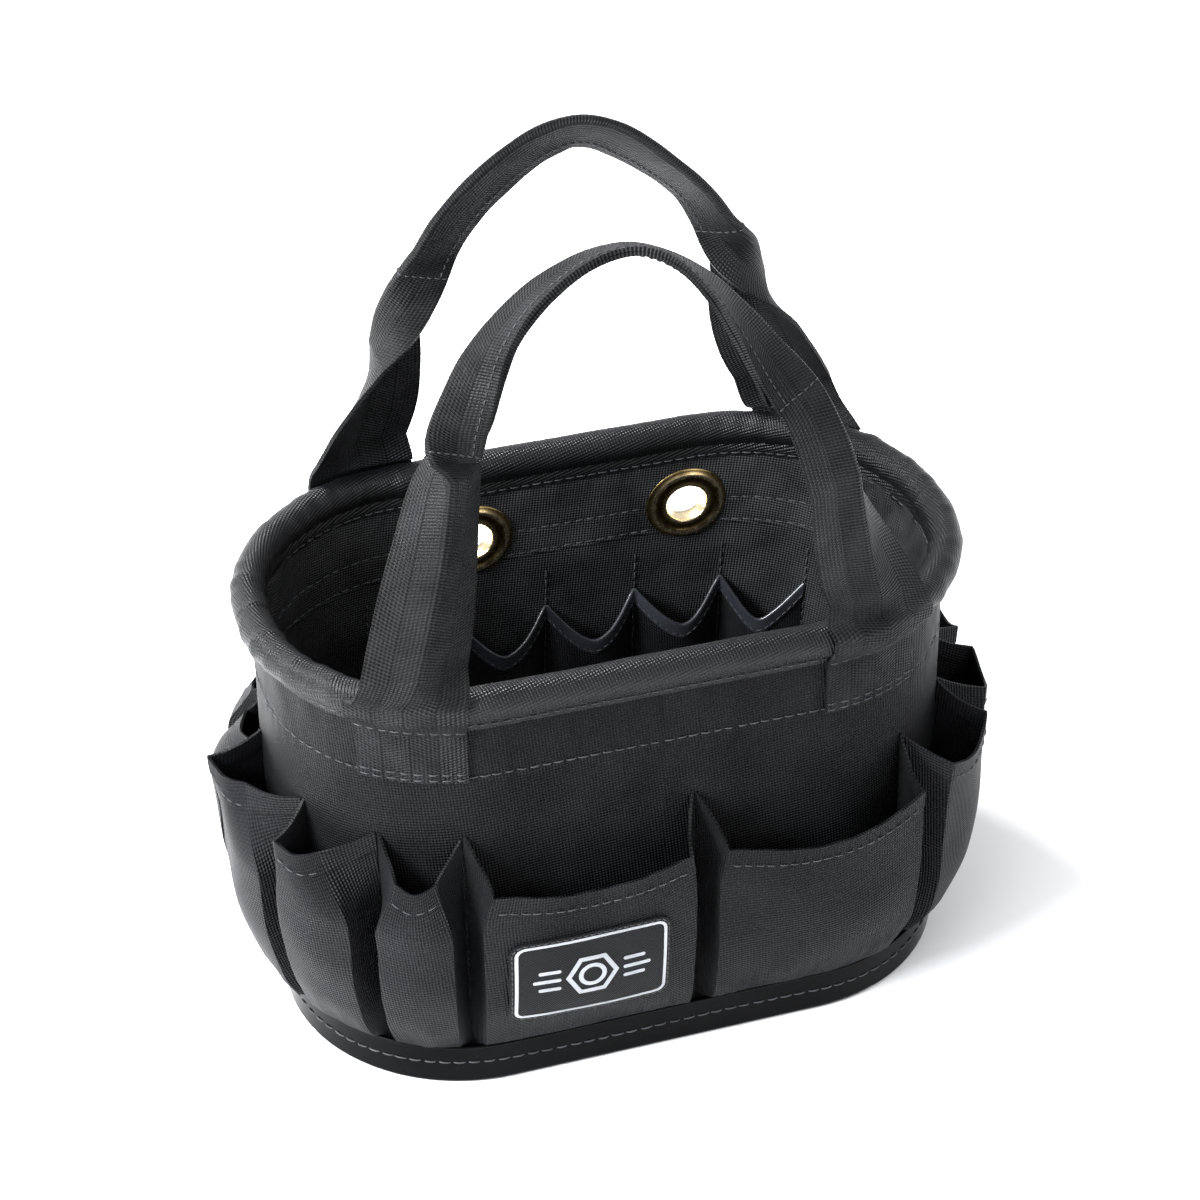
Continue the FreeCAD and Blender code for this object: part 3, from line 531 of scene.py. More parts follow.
def shell_swell(run, z):
    """How far the outer fabric stands off its flat place."""
    high = step(z, 150, 185)
    broad = 0.35 * ripple(run, z * 0.6, 70, 1)
    tucks = 0.45 * ripple(run, z * 0.12, 15, 2) * near(z, UPPER_SEAM - 6, 12)
    tight = 0.3 * ripple(run, z * 0.2, 11, 3) * near(z, LOWER_SEAM, 8)
    grooves = 0.35 * near(z, LOWER_SEAM, 1.6) + 0.3 * near(z, UPPER_SEAM, 1.6)
    return np.clip(0.2 + high * (broad + tucks + tight), 0, 0.9) - high * grooves


def build_shell():
    """The wall's outer fabric, cut out at the grommets."""
    heights = np.unique(np.concatenate([
        np.linspace(3, 150, 26), np.linspace(150, 194, 20), np.linspace(194, 202, 13),
        np.linspace(202, 226, 12), np.linspace(226, 231.3, 8)]))
    run, z = np.meshgrid(ROUND, heights)
    middle = wall(run, z, -0.45 + shell_swell(run, z))
    sheet(
        "outer_fabric", middle, 0.9, SHELL, "shell_fabric", ring=True,
        keep=clear_of_grommets(middle), replaces=("outer_shell",))


def lining_swell(run, z):
    """How far the lining stands into the bucket: soft creases, and the facing's extra layer."""
    facing = 0.8 * step(z, FACING_LOW - 0.6, FACING_LOW + 0.4)
    left_end = near(np.mod(run, 2 * HALF_TURN), 1.5 * HALF_TURN - 20, 95)
    right_end = near(np.mod(run, 2 * HALF_TURN), 0.5 * HALF_TURN + 20, 80)
    crumple = (left_end + 0.6 * right_end) * near(z, 218, 30)
    soft = 0.55 * np.abs(ripple(run * 0.8, z, 55, 11)) * step(z, 60, 190)
    folds = 2.4 * crumple * np.abs(ripple(run + 0.5 * z, z * 0.5, 24, 12))
    tucks = 0.5 * np.abs(ripple(run, z * 0.2, 12, 13)) * near(z, UPPER_SEAM, 12)
    seams = 0.35 * near(z, 197.5, 1.5) + 0.3 * near(z, FACING_LOW + 2.5, 1.5)
    return facing + soft + folds + tucks - seams * step(z, 150, 175)


def build_lining():
    """The wall's inner fabric, with the facing's extra layer at its top."""
    heights = np.unique(np.concatenate([
        np.linspace(3, 140, 24), np.linspace(140, 177, 14), np.linspace(177, 184, 13),
        np.linspace(184, 194, 5), np.linspace(194, 201, 10), np.linspace(201, 231.3, 18)]))
    run, z = np.meshgrid(ROUND, heights)
    middle = wall(run, z, 0.35 - WALL_THICK - lining_swell(run, z))
    sheet(
        "lining_fabric", middle, 0.7, LINING, "lining_fabric", ring=True,
        keep=clear_of_grommets(middle), replaces=("lining",))


# Radius of the middle of the rolled fabric, as rolled and where it lies against the tube
ROLL_RADIUS, ROLL_LEAST = 9.2, 8.6


def roll_radius(run, angle):
    """Radius of the middle of the rolled fabric, wrinkled where the rim turns tightly."""
    turned = np.mod(run, 2 * HALF_TURN)
    tight = (
        near(turned, 1.5 * HALF_TURN, 120) + near(turned, 0.5 * HALF_TURN, 120)
        + 1.1 * near(turned, HALF_TURN - 158, 26) + 0.5 * near(turned, HALF_TURN + 100, 20))
    gathers = ripple(run, angle * 3, 15, 21) - 0.5
    creases = -np.abs(ripple(run + 6 * np.sin(angle), angle * 2, 30, 22))
    lumps = 0.16 * ripple(run, angle * 6, 45, 23)
    left_end = 1.5 * HALF_TURN
    joint = 0.9 * near(turned, left_end + 28, 5) - 0.7 * near(turned, left_end + 36, 3)
    wrinkled = np.clip(tight, 0, 1.2) * (0.75 * gathers + 0.55 * creases)
    return np.maximum(ROLL_RADIUS + lumps + wrinkled + 0.9 * joint, ROLL_LEAST)


def build_rim():
    """Fabric rolled over the tube, both its edges sewn down on the wall."""
    angles = np.radians(np.linspace(-92.5, 235.2, 44))
    run, angle = np.meshgrid(ROUND, angles)
    round_part = rim(run, angle, roll_radius(run, angle))
    down = np.array([227.5, 229.0, 230.5, 232.0])
    run_low, z_low = np.meshgrid(ROUND, down)
    outside = wall(run_low, z_low, 0.85 + 0.15 * ripple(run_low, z_low, 14, 24))
    inside = wall(run_low, z_low[::-1], -WALL_THICK - 1.75)
    middle = np.concatenate([outside, round_part, inside])
    sheet("rim_roll", middle, 0.8, ROLL, "rim_fabric", ring=True, replaces=("rim_cover",))


SEAM_RUN = np.arange(0, 2 * HALF_TURN, 1.5)


def wall_line(z, out):
    """Points and outward normals round the wall at one height."""
    return wall(SEAM_RUN, z, out), outward(SEAM_RUN)


def build_wall_threads():
    """The seams round the wall, outside and inside."""
    seams = [stitches(*wall_line(UPPER_SEAM, 1.25), seed=31)]
    seams += [
        stitches(*chain, seed=32) for chain in away_from_grommets(*wall_line(LOWER_SEAM, 0.12))]
    threads("wall_stitching", seams, "shell_fabric")
    inner = []
    for number, (z, into) in enumerate(((229.6, 2.2), (197.5, 1.15), (FACING_LOW + 2.5, 1.15))):
        swell = 0.0 if z > 228 else lining_swell(SEAM_RUN, z) - 1.15
        points, stand = wall_line(z, -WALL_THICK - into - swell)
        for chain in away_from_grommets(points, -stand):
            inner.append(stitches(*chain, seed=35 + number))
    threads("lining_stitching", inner, "lining_fabric")


def away_from_grommets(points, stand):
    """The stretches of a line of stitching that pass clear of the grommets' flanges."""
    clear = np.ones(len(points), bool)
    for centre, _ in GROMMETS.values():
        clear &= np.linalg.norm(points - centre, axis=1) > FLANGE_CLEAR
    edges = np.flatnonzero(np.diff(clear.astype(int))) + 1
    chains = []
    for part in np.split(np.arange(len(points)), edges):
        if clear[part[0]] and len(part) > 5:
            chains.append((points[part], stand[part]))
    return chains


# ---- outer pockets

FIRST_SEAM = -108.8
POCKET_WIDTHS = [125.3, 125.4, 58, 48, 48, 48, 48, 115, 114.7, 42, 42, 42, 65.6, 50.4, 45.2]
POCKET_BOTTOM, POCKET_CORNER, POCKET_PEAK = 26.6, 150.0, 163.0
SEAM_CLEAR, WALL_CLEAR, BOTTOM_DEPTH = 0.9, 0.4, 1.8
FOLD_INSET = 6.0
BELLY_HEIGHT, BELLY_ROUND = 92.0, 1.75
HEM = 11.0
# Pockets cut from the darker copy of the cloth, as painted shade
POCKETS_IN_PAINTED_SHADE = (2,)
# How a pocket's mouth hangs: width of its left and right gussets at the top, height of its left
# and right front corners, their share of the full depth, and the dip between them
LARGE_MOUTH = (13.0, 9.0, 138.5, 141.0, 0.96, 1.0, 6.0)
NARROW_MOUTH = (8.0, 8.0, 149.0, 149.0, 0.95, 0.95, 8.0)
MOUTHS = {
    2: (12.0, 9.0, 139.5, 142.0, 0.98, 1.02, 8.0),
    11: (8.0, 8.0, 146.0, 146.0, 0.45, 0.35, 4.0),
    12: (8.0, 8.0, 146.0, 147.0, 0.3, 0.2, 3.0),
    13: (6.0, 38.0, 153.0, 149.0, 1.05, 0.55, 3.0),
    14: (6.0, 24.0, 151.0, 150.0, 0.9, 0.55, 3.0),
    15: (15.0, 13.0, 146.0, 146.0, 0.66, 0.62, 4.0),
}
# Heights between which a pocket's gussets open
FOLD_RELEASE, FOLD_OPEN = 116.0, 150.0


class Pocket:
    """A bellows pocket: a bulging front between two folded gussets.

    Across it, 0 to 1 is the left gusset, 1 to 2 the front and 2 to 3 the right gusset.
    """

    def __init__(self, number, start, width):
        self.number, self.start, self.width = number, start, width
        self.large = width > 100
        self.peak = POCKET_PEAK if self.large else POCKET_PEAK - 3
        self.mouth_depth = 24.5 if self.large else 29.0
        shape = MOUTHS.get(number, LARGE_MOUTH if self.large else NARROW_MOUTH)
        self.insets, self.corners, self.reaches = shape[:2], shape[2:4], shape[4:6]
        self.dip = shape[6]

    def gussets(self, z):
        """Widths of the two gussets at a height."""
        opened = step(z, FOLD_RELEASE, FOLD_OPEN)
        return [FOLD_INSET + (inset - FOLD_INSET) * opened for inset in self.insets]

    def panel(self, share, z):
        """Place across the front of a share of the pocket's whole width."""
        left, right = self.gussets(z)
        return 1 + (share * self.width - left) / (self.width - left - right)

    def front(self, across):
        """0 at the two corner folds, 1 in the middle of the front."""
        return np.sin(math.pi * np.clip(across - 1, 0, 1)) ** 1.3

    def side(self, across):
        """0 at the seams, 1 from the corner folds inwards."""
        return np.clip(np.minimum(across, 3 - across), 0, 1)

    def mouth(self, across):
        """Height of the pocket's edge."""
        left, right = self.corners
        corner = left + (right - left) * np.clip(across - 1, 0, 1)
        gusset = 1 - self.side(across)
        sag = 2.0 * np.sin(math.pi * gusset)
        return corner + (self.peak - corner) * gusset - sag - self.dip * self.front(across)

    def depth(self, across, z):
        """How far the middle of the fabric stands off the wall, before its creases."""
        z = np.minimum(z, POCKET_CORNER)
        high = 0.92 + 0.08 * (z - BELLY_HEIGHT) / (POCKET_CORNER - BELLY_HEIGHT)
        fall = np.clip((BELLY_HEIGHT - z) / (BELLY_HEIGHT - POCKET_BOTTOM), 0, 1)
        belly = (1 - fall ** BELLY_ROUND) ** (1 / BELLY_ROUND)
        low = BOTTOM_DEPTH + (self.mouth_depth * 0.92 - BOTTOM_DEPTH) * belly
        deep = np.where(z >= BELLY_HEIGHT, self.mouth_depth * high, low)
        left, right = self.reaches
        top = left + (right - left) * np.clip(across - 1, 0, 1)
        opened = step(z, FOLD_RELEASE, FOLD_OPEN)
        reach = 0.97 + (top - 0.97) * opened + (0.13 if self.large else 0.06) * self.front(across)
        least = np.where(z < POCKET_BOTTOM + 1, BOTTOM_DEPTH, WALL_CLEAR)
        return np.maximum(deep * reach * self.side(across), least)

    def creases(self, across, z):
        """Unevenness of the fabric: soft waves, gathered foot and a slack mouth."""
        run = across * self.width / 2
        seed = 100 + 10 * self.number
        soft = 0.7 * ripple(run, z * 0.7, 38, seed)
        gathers = np.abs(ripple(run, z * 0.1, 9, seed + 2))
        foot = near(z, POCKET_BOTTOM + 12, 14) * (
            1.5 * ripple(run, z * 0.25, 19, seed + 1) - 0.6 * gathers)
        slack = 0.8 * ripple(run, z * 0.2, 34, seed + 3) * step(z, 100, 140)
        held = self.side(across) * step(z, POCKET_BOTTOM, POCKET_BOTTOM + 6)
        return held * (soft + foot + slack)

    def point(self, across, z, extra=0.0):
        """Points of the fabric's middle, or `extra` mm further out."""
        left, right = self.gussets(z)
        front = self.width - left - right
        place = np.where(
            across < 1, across * left,
            np.where(across > 2, self.width - (3 - across) * right, left + (across - 1) * front))
        gusset = np.sin(math.pi * self.side(across))
        bow = 1.4 * gusset * step(z, 34, 90) * np.where(across < 1.5, 1, -1)
        run = self.start + SEAM_CLEAR + (place + bow) * (1 - 2 * SEAM_CLEAR / self.width)
        return wall(run, z, self.depth(across, z) + self.creases(across, z) + extra)

    def build(self):
        gusset = np.linspace(0, 1, 8)
        front = np.linspace(1, 2, int(self.width / 1.9))
        across = np.concatenate([gusset[:-1], front, (3 - gusset[::-1])[1:]])
        mouth = self.mouth(across)
        rises = np.concatenate([np.linspace(0, 0.22, 14)[:-1], np.linspace(0.22, 1, 34)])
        below = POCKET_BOTTOM + (mouth - HEM - POCKET_BOTTOM) * rises[:, None]
        over = mouth - HEM + np.array([0.5, 1.5, 4.0, 6.5, 9.0, HEM - 0.4, HEM])[:, None]
        z = np.concatenate([below, over])
        hem = np.concatenate([np.zeros(len(below)), np.ones(len(over))])[:, None]
        stand = 0.3 * hem * self.side(across)
        middle = self.point(np.broadcast_to(across, z.shape), z, stand)
        thick = np.broadcast_to(0.9 + 0.6 * hem, z.shape)
        # Painted shade: the listed pockets take the darker copy of the pocket cloth.
        material = POCKET_PAINTED_SHADE if self.number in POCKETS_IN_PAINTED_SHADE else POCKET
        name = f"outer_pocket_{self.number:02d}"
        sheet(f"{name}_fabric", middle, thick, material, "pocket_fabric", replaces=(name,))

    def hem_stitches(self):
        across = np.linspace(1.03, 1.97, int(self.width / 1.5))
        z = self.mouth(across) - HEM + 1.8
        points = self.point(across, z, 1.1)
        run = self.start + (across - 1) * self.width
        return stitches(points, outward(run), length=4.9, pitch=6.0, radius=0.36, seed=self.number)


def build_pockets():
    """All the outer pockets, in order from the front left."""
    start = FIRST_SEAM
    pockets = []
    for number, width in enumerate(POCKET_WIDTHS, start=1):
        pockets.append(Pocket(number, start, width))
        start += width
    for pocket in pockets:
        pocket.build()
    threads("pocket_hem_stitching", [pocket.hem_stitches() for pocket in pockets], "pocket_fabric")
    return pockets


# ---- badge

# Half length and half height, and the middle as a share of the pocket's width and a height
BADGE_HALF = (43.5, 28.0)
BADGE_MIDDLE = (0.48, 80.0)
BADGE_CORNER = 7.0


def on_pocket(pocket, across, z, extra):
    """Points over a pocket's front, `across` mm from the badge's middle."""
    share = BADGE_MIDDLE[0] + across / (pocket.width - 2 * SEAM_CLEAR)
    height = BADGE_MIDDLE[1] + z
    return pocket.point(pocket.panel(share, height), height, extra)


def rounded_loop(half_x, half_y, corner, count=128):
    """Closed rounded rectangle, anticlockwise."""
    turn = np.arange(count) * 2 * math.pi / count
    quarter = np.floor(turn / (math.pi / 2)) + 0.5
    centre_x = np.sign(np.cos(quarter * math.pi / 2)) * (half_x - corner)
    centre_y = np.sign(np.sin(quarter * math.pi / 2)) * (half_y - corner)
    return np.stack([centre_x + corner * np.cos(turn), centre_y + corner * np.sin(turn)], -1)


def evened(loop, count):
    """The same closed line with evenly spaced points."""
    closed = np.concatenate([loop, loop[:1]])
    at = distances(closed)
    distance = np.arange(count) * at[-1] / count
    return np.stack([np.interp(distance, at, closed[:, axis]) for axis in range(2)], -1)


def polygon(radius, sides):
    """A regular polygon, anticlockwise."""
    turn = np.arange(sides) * 2 * math.pi / sides
    return radius * np.stack([np.cos(turn), np.sin(turn)], -1)


def inlay(pocket, outer, inner, lift=2.0, thick=0.3, count=120):
    """A flat band between two closed lines on the badge."""
    outer, inner = evened(outer, count), evened(inner, count)
    rows = [outer, (outer + inner) / 2, inner]
    middle = np.stack([on_pocket(pocket, row[:, 0], row[:, 1], lift) for row in rows])
    return sheet_faces(middle[::-1], thick, ring=True)


def build_badge(pocket):
    """A dark patch with a silver border, a nut between bars and a sewn edge."""
    half_x, half_y = BADGE_HALF
    up = np.sin(np.linspace(-math.pi / 2, math.pi / 2, 31)) * half_y
    over = np.maximum(np.abs(up) - (half_y - BADGE_CORNER), 0)
    reach = half_x - BADGE_CORNER + np.sqrt(np.maximum(BADGE_CORNER ** 2 - over ** 2, 0))
    across = reach[:, None] * np.linspace(-1, 1, 60)
    z = np.broadcast_to(up[:, None], across.shape)
    middle = on_pocket(pocket, across, z, 1.35)
    sheet("badge_patch", middle, 1.1, BADGE, "label_patch", replaces=("label",))
    border = inlay(
        pocket, rounded_loop(half_x - 2.4, half_y - 2.4, 5.0),
        rounded_loop(half_x - 4.0, half_y - 4.0, 3.6))
    nut = inlay(pocket, polygon(14.5, 6), polygon(11.6, 6))
    bore = inlay(pocket, polygon(7.6, 48), polygon(5.2, 48))
    bars = []
    for side in (-1, 1):
        for level, length in ((6.0, 12.0), (0.0, 15.0), (-6.0, 12.0)):
            centre = np.array([side * (17.0 + length / 2), level])
            box = rounded_loop(length / 2, 1.1, 1.0) + centre
            bars.append(inlay(pocket, box, centre + (box - centre) * 0.12))
    piece("badge_emblem", *joined([border, nut, bore, *bars]), SILVER, "label_patch")
    edge = evened(rounded_loop(half_x - 1.3, half_y - 1.3, 5.8), 400)
    edge = np.concatenate([edge, edge[:1]])
    points = on_pocket(pocket, edge[:, 0], edge[:, 1], 1.95)
    stand = outward(pocket.start + pocket.width / 2 + edge[:, 0])
    threads("badge_stitching", [stitches(
        points, stand, pitch=3.6, length=2.9, radius=0.3, seed=61)], "label_patch")


# ---- inner pockets

INNER_WIDTH, INNER_COUNT = 53.8, 5
INNER_BOTTOM, INNER_LOW, INNER_PEAK, INNER_DEPTH = 12.0, 116.0, 139.0, 13.0
INNER_FACE = -WALL_THICK - WALL_CLEAR - 0.4
INNER_ROWS = {"front": -8.0, "rear": HALF_TURN - 27.2}


def scallop(share):
    """Height of an inner pocket's edge."""
    return INNER_LOW + (INNER_PEAK - INNER_LOW) * np.abs(2 * share - 1) ** 1.5


def inner_out(share, z, seed):
    """Offset of an inner pocket's middle from the wall's outer face."""
    swell = np.sqrt(np.clip((z - INNER_BOTTOM) / 50, 0, 1))
    arch = np.sin(math.pi * share)
    crease = 0.5 * ripple(share * INNER_WIDTH, z * 0.6, 26, seed) * arch
    return INNER_FACE - INNER_DEPTH * arch * swell - crease


def build_inner_pockets():
    """Two rows of flat pockets, with the seams between them."""
    seams = []
    for side, middle_run in INNER_ROWS.items():
        row_start = middle_run - INNER_COUNT * INNER_WIDTH / 2
        tape_parts = []
        for number in range(INNER_COUNT):
            start = row_start + number * INNER_WIDTH
            seed = 200 + 10 * number + (0 if side == "front" else 5)
            share = np.linspace(0, 1, 33)
            rises = np.linspace(0, 1, 40)[:, None]
            z = INNER_BOTTOM + (scallop(share) - INNER_BOTTOM) * rises
            run = start + SEAM_CLEAR + share * (INNER_WIDTH - 2 * SEAM_CLEAR)
            grid = wall(np.broadcast_to(run, z.shape), z, inner_out(share, z, seed))
            name = f"inner_pocket_{side}_{number + 1}"
            sheet(f"{name}_fabric", grid[:, ::-1], 0.8, INNER, "inner_fabric", replaces=(name,))
            tape_parts.append((start, seed))
        seams += build_binding(side, tape_parts)
        for number in range(INNER_COUNT + 1):
            z = np.arange(20, 166, 1.5)
            run = np.full_like(z, row_start + number * INNER_WIDTH)
            into = 1.0 + lining_swell(run, z)
            seams.append(stitches(
                wall(run, z, -WALL_THICK - into + 0.6), -outward(run), seed=240 + number))
    threads("inner_pocket_stitching", seams, "inner_fabric")


def build_binding(side, parts):
    """Tape folded over the scalloped edges of one row, and the stitching along it."""
    drops = np.array([9.0, 7.0, 4.5, 2.0, 0.4])
    runs, heights, outs = [], [], []
    for start, seed in parts:
        share = np.linspace(0, 1, 29)
        runs.append(start + SEAM_CLEAR + share * (INNER_WIDTH - 2 * SEAM_CLEAR))
        heights.append(scallop(share) - drops[:, None])
        outs.append(inner_out(share, heights[-1], seed))
    run = np.concatenate(runs)
    z = np.concatenate(heights, 1)
    grid = wall(np.broadcast_to(run, z.shape), z, np.concatenate(outs, 1))[:, ::-1]
    stand = normals(grid)
    thin = 0.85
    face = grid + stand * thin
    over = [
        grid[-1] + stand[-1] * thin * math.cos(turn) + np.array([0, 0, 0.5 + thin * math.sin(turn)])
        for turn in np.radians((20, 55, 90, 125, 160))
    ]
    back = (grid - stand * thin)[::-1]
    middle = np.concatenate([face, np.array(over), back])
    sheet(
        f"inner_binding_{side}_tape", middle, 0.6, VINYL, "binding_vinyl",
        replaces=(f"inner_binding_{side}",), sharp=55.0)
    line = face[1] + stand[1] * 0.35
    return [stitches(line, stand[1], pitch=4.6, length=3.7, radius=0.3, seed=251)]


# ---- grommets

# Radius and height along the axis, round the metal of an eyelet: the barrel, the flange inside
# the bucket with its raised ring, and the curl outside
EYELET = [
    (11.75, 4.6), (11.75, 0.0), (11.75, -3.4), (11.95, -4.1), (12.5, -4.6), (13.3, -4.75),
    (14.2, -4.55), (15.2, -4.2), (16.6, -4.05), (17.6, -4.3), (18.4, -4.9), (19.3, -5.35),
    (20.3, -5.4), (21.2, -5.05), (22.0, -4.5), (22.9, -4.15), (23.7, -3.85), (24.0, -3.5),
    (23.8, -3.15), (22.5, -3.3), (20.8, -4.3), (19.6, -4.5), (18.4, -4.0), (16.8, -3.35),
    (14.0, -3.4), (12.7, -3.1), (12.5, 0.0), (12.5, 4.1), (13.1, 4.35), (15.1, 4.2),
    (15.5, 4.5), (15.1, 4.95), (13.4, 5.15), (12.3, 5.0),
]
WASHER = [
    (12.6, 3.1), (21.6, 3.1), (22.0, 3.3), (21.8, 3.6), (19.0, 4.0), (16.0, 4.1), (12.9, 4.1),
    (12.6, 3.9),
]
GROMMET_SIDES = 96


def turned(name, profile, place, replaces):
    """A ring of metal turned about a grommet's axis."""
    centre, (first, second, axis) = place
    turn = np.arange(GROMMET_SIDES) * 2 * math.pi / GROMMET_SIDES
    radius, height = np.array(profile + profile[:1]).T
    spoke = np.cos(turn)[:, None] * first + np.sin(turn)[:, None] * second
    points = (
        centre + radius[:, None, None] * spoke[None] + height[:, None, None] * axis)[:-1]
    row, column, faces = tube_faces(*points.shape[:2])
    around = np.arange(GROMMET_SIDES + 1) * 2 * math.pi / GROMMET_SIDES * 18
    measure = np.stack([
        np.stack([around[column + over], radius[row + down]], -1)
        for over, down in ((0, 0), (0, 1), (1, 1), (1, 0))], 1)
    piece(
        name, points.reshape(-1, 3), faces, measure, BRASS, "grommet_brass",
        replaces=replaces, sharp=60.0)


def build_grommets():
    """An eyelet and its washer at each grommet."""
    for side, place in GROMMETS.items():
        turned(f"grommet_{side}_ring", EYELET, place, (f"grommet_{side}_eyelet",))
        turned(f"grommet_{side}_back", WASHER, place, (f"grommet_{side}_washer",))


# ---- straps

WEB_HALF, WEB_THICK = 28.5, 2.1
HINGE_OUT, HINGE_HEIGHT = 106.0, 267.0
HANDLE_LEAN = math.radians(11)
SPINE_BEND = 2.7
# Middle line of each handle in its own plane: x, distance from the hinge line, turn of the webbing
# about that line and how far its outer half is folded under, both in degrees
HANDLES = {
    "front": (-1, (-132.5, 117.0), [
        (-129, 0, 0, 38), (-120.5, 30, 0, 58), (-111.5, 65, -2, 90), (-104, 97, -10, 118),
        (-94, 130, -35, 172), (-72.5, 169, -78, 180), (-38.8, 195, -97, 180),
        (-3.5, 200.5, -102, 180), (30, 178, -76, 180), (63.6, 128, -33, 176),
        (76, 100, -14, 128), (88.5, 62, -4, 84), (100, 28, 0, 56), (112.5, 0, 0, 24)]),
    "rear": (1, (-102.0, 151.0), [
        (-103, 0, 0, 30), (-92, 28, 0, 50), (-82, 60, -3, 84), (-76.5, 92, -6, 132),
        (-64, 131, -16, 180), (-44.5, 162, -16, 180), (-10, 191, -19, 180),
        (22, 192, -30, 180), (68, 154, -47, 180), (90, 122, -48, 172),
        (101.5, 92, -28, 120), (114.6, 56, -6, 72), (128, 27, 0, 48), (142, 0, 0, 26)]),
}
# How evenly the two halves of an opening leg slope, left and right: 1 is a tent, 0 leaves the
# inner half flat
TENT = {"front": (1.0, 0.0), "rear": (0.0, 0.0)}


# The yarns along the webbing, in mm from its middle one
ACROSS = np.concatenate([
    np.linspace(-WEB_HALF, -4, 15), np.linspace(-3.2, 3.2, 9), np.linspace(4, WEB_HALF, 15)])
SPINE = len(ACROSS) // 2
# Heights of the seams on a strap's sewn ends, and above which its grip is sewn
FOOT_SEAMS = (198.5, 201.5, 229.0)
GRIP_HEIGHT = 385.0


def smooth_rows(keys, per_span):
    """Rows interpolated smoothly through key rows."""
    keys = np.asarray(keys, float)
    padded = np.concatenate([2 * keys[:1] - keys[1:2], keys, 2 * keys[-1:] - keys[-2:-1]])
    share = (np.arange(per_span) / per_span).reshape(-1, *([1] * (keys.ndim - 1)))
    rows = []
    for index in range(len(keys) - 1):
        before, start, end, after = padded[index:index + 4]
        square = 2 * before - 5 * start + 4 * end - after
        cube = 3 * start - before - 3 * end + after
        rows.append(
            0.5 * (2 * start + (end - before) * share + square * share ** 2 + cube * share ** 3))
    return np.concatenate([*rows, keys[-1:]])


def folded_section(across, fold, tent):
    """Place of the webbing's yarns in a section folded along its middle: (wide, deep)."""
    closed = step(fold, math.radians(125), math.radians(172))[:, None]
    slope = tent[:, None] * (1 - closed) * fold[:, None] / 2
    bend = np.clip((across + SPINE_BEND) / (2 * SPINE_BEND), 0, 1)
    heading = math.pi + slope - fold[:, None] * (1 - bend)
    steps = np.diff(across)
    middle = (heading[:, 1:] + heading[:, :-1]) / 2
    places = []
    for part in (np.cos(middle), np.sin(middle)):
        total = np.concatenate([np.zeros((len(fold), 1)), np.cumsum(part * steps, 1)], 1)
        places.append(total - (total.max(1) + total.min(1))[:, None] / 2)
    pinch = 1 - 0.3 * closed * step(np.abs(across), 8, 24)
    return places[0], places[1] * pinch


def handle_grid(side):
    """Middle surface of a handle's webbing from its left hinge to its right."""
    out, _, stations = HANDLES[side]
    up = np.array([0, -out * math.sin(HANDLE_LEAN), math.cos(HANDLE_LEAN)])
    through = np.array([0, out * math.cos(HANDLE_LEAN), math.sin(HANDLE_LEAN)])
    foot = np.array([0, out * HINGE_OUT, HINGE_HEIGHT])
    x, rise, turn, fold = smooth_rows(stations, 26).T
    fold = np.clip(fold, 0, 180)
    centre = foot + np.outer(x, (1, 0, 0)) + np.outer(rise, up)
    run = unit(np.gradient(centre, axis=0))
    settled = np.minimum(rise / 45.0, 1.0)[:, None]
    upright = np.where((run @ up)[:, None] > 0, up, -up)
    run = unit(upright * (1 - settled) + run * settled)
    outer = np.cross(through, run) * -out
    twist = np.radians(turn)[:, None]
    wide = outer * np.cos(twist) + through * np.sin(twist)
    deep = through * np.cos(twist) - outer * np.sin(twist)
    fold = np.radians(fold)
    tent = np.where(x < 0, *TENT[side])
    places_wide, places_deep = folded_section(ACROSS, fold, tent)
    return (
        centre[:, None] + wide[:, None] * places_wide[..., None]
        + deep[:, None] * places_deep[..., None])


def tab_rows(side, end):
    """Rows of a strap's sewn end, from the wall up to just under the hinge line."""
    out, middles, stations = HANDLES[side]
    left = end == 0
    toward = ACROSS if left else -ACROSS
    centre_run = middles[end] if side == "front" else HALF_TURN - middles[end]
    run = centre_run - out * toward
    rows = [wall(run, np.full_like(run, z), lift) for z, lift in (
        (196.5, 1.35), (207.0, 1.45), (218.0, 1.7), (226.5, 2.3))]
    for rise, reach in ((-7.5, 0.66), (-3.0, 0.97), (1.5, 1.02), (6.0, 1.0)):
        rows.append(placed(run, np.full_like(run, RIM_HEIGHT + rise), 11.4 * reach, RIM))
    hinge = stations[0 if left else -1][0]
    top = np.stack([
        hinge + toward, np.full_like(run, out * HINGE_OUT),
        np.full_like(run, HINGE_HEIGHT - 8.0)], -1)
    rows.append((rows[-1] + top * 1.2) / 2.2)
    return rows


def strap_grid(side):
    """A whole strap's middle surface, distances along it and rows in each sewn end."""
    handle = handle_grid(side)
    left, right = (smooth_rows([*tab_rows(side, end), handle[-end]], 6)[:-1] for end in (0, 1))
    grid = np.concatenate([left, handle, right[::-1]])
    at = distances(grid[:, SPINE])
    grid = grid + normals(grid) * 0.18 * ripple(ACROSS[None], at[:, None], 30, 301)[..., None]
    return grid, at, len(left)


def build_strap(side):
    """A whole strap in one piece that rides no body; its foot stitching rides the bucket and its
    grip stitching the handle.
    """
    grid, at, foot_rows = strap_grid(side)
    if side == "rear":
        grid = grid[:, ::-1]
    cloth = np.stack(np.meshgrid(ACROSS + WEB_HALF, at), -1)
    strap = sheet(
        f"strap_{side}", grid, WEB_THICK, WEB, "webbing", cloth=cloth, body=None,
        replaces=(f"handle_{side}", f"tab_{side}_left", f"tab_{side}_right"), sharp=50.0)
    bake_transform(strap)
    strap_threads(side, grid, foot_rows)


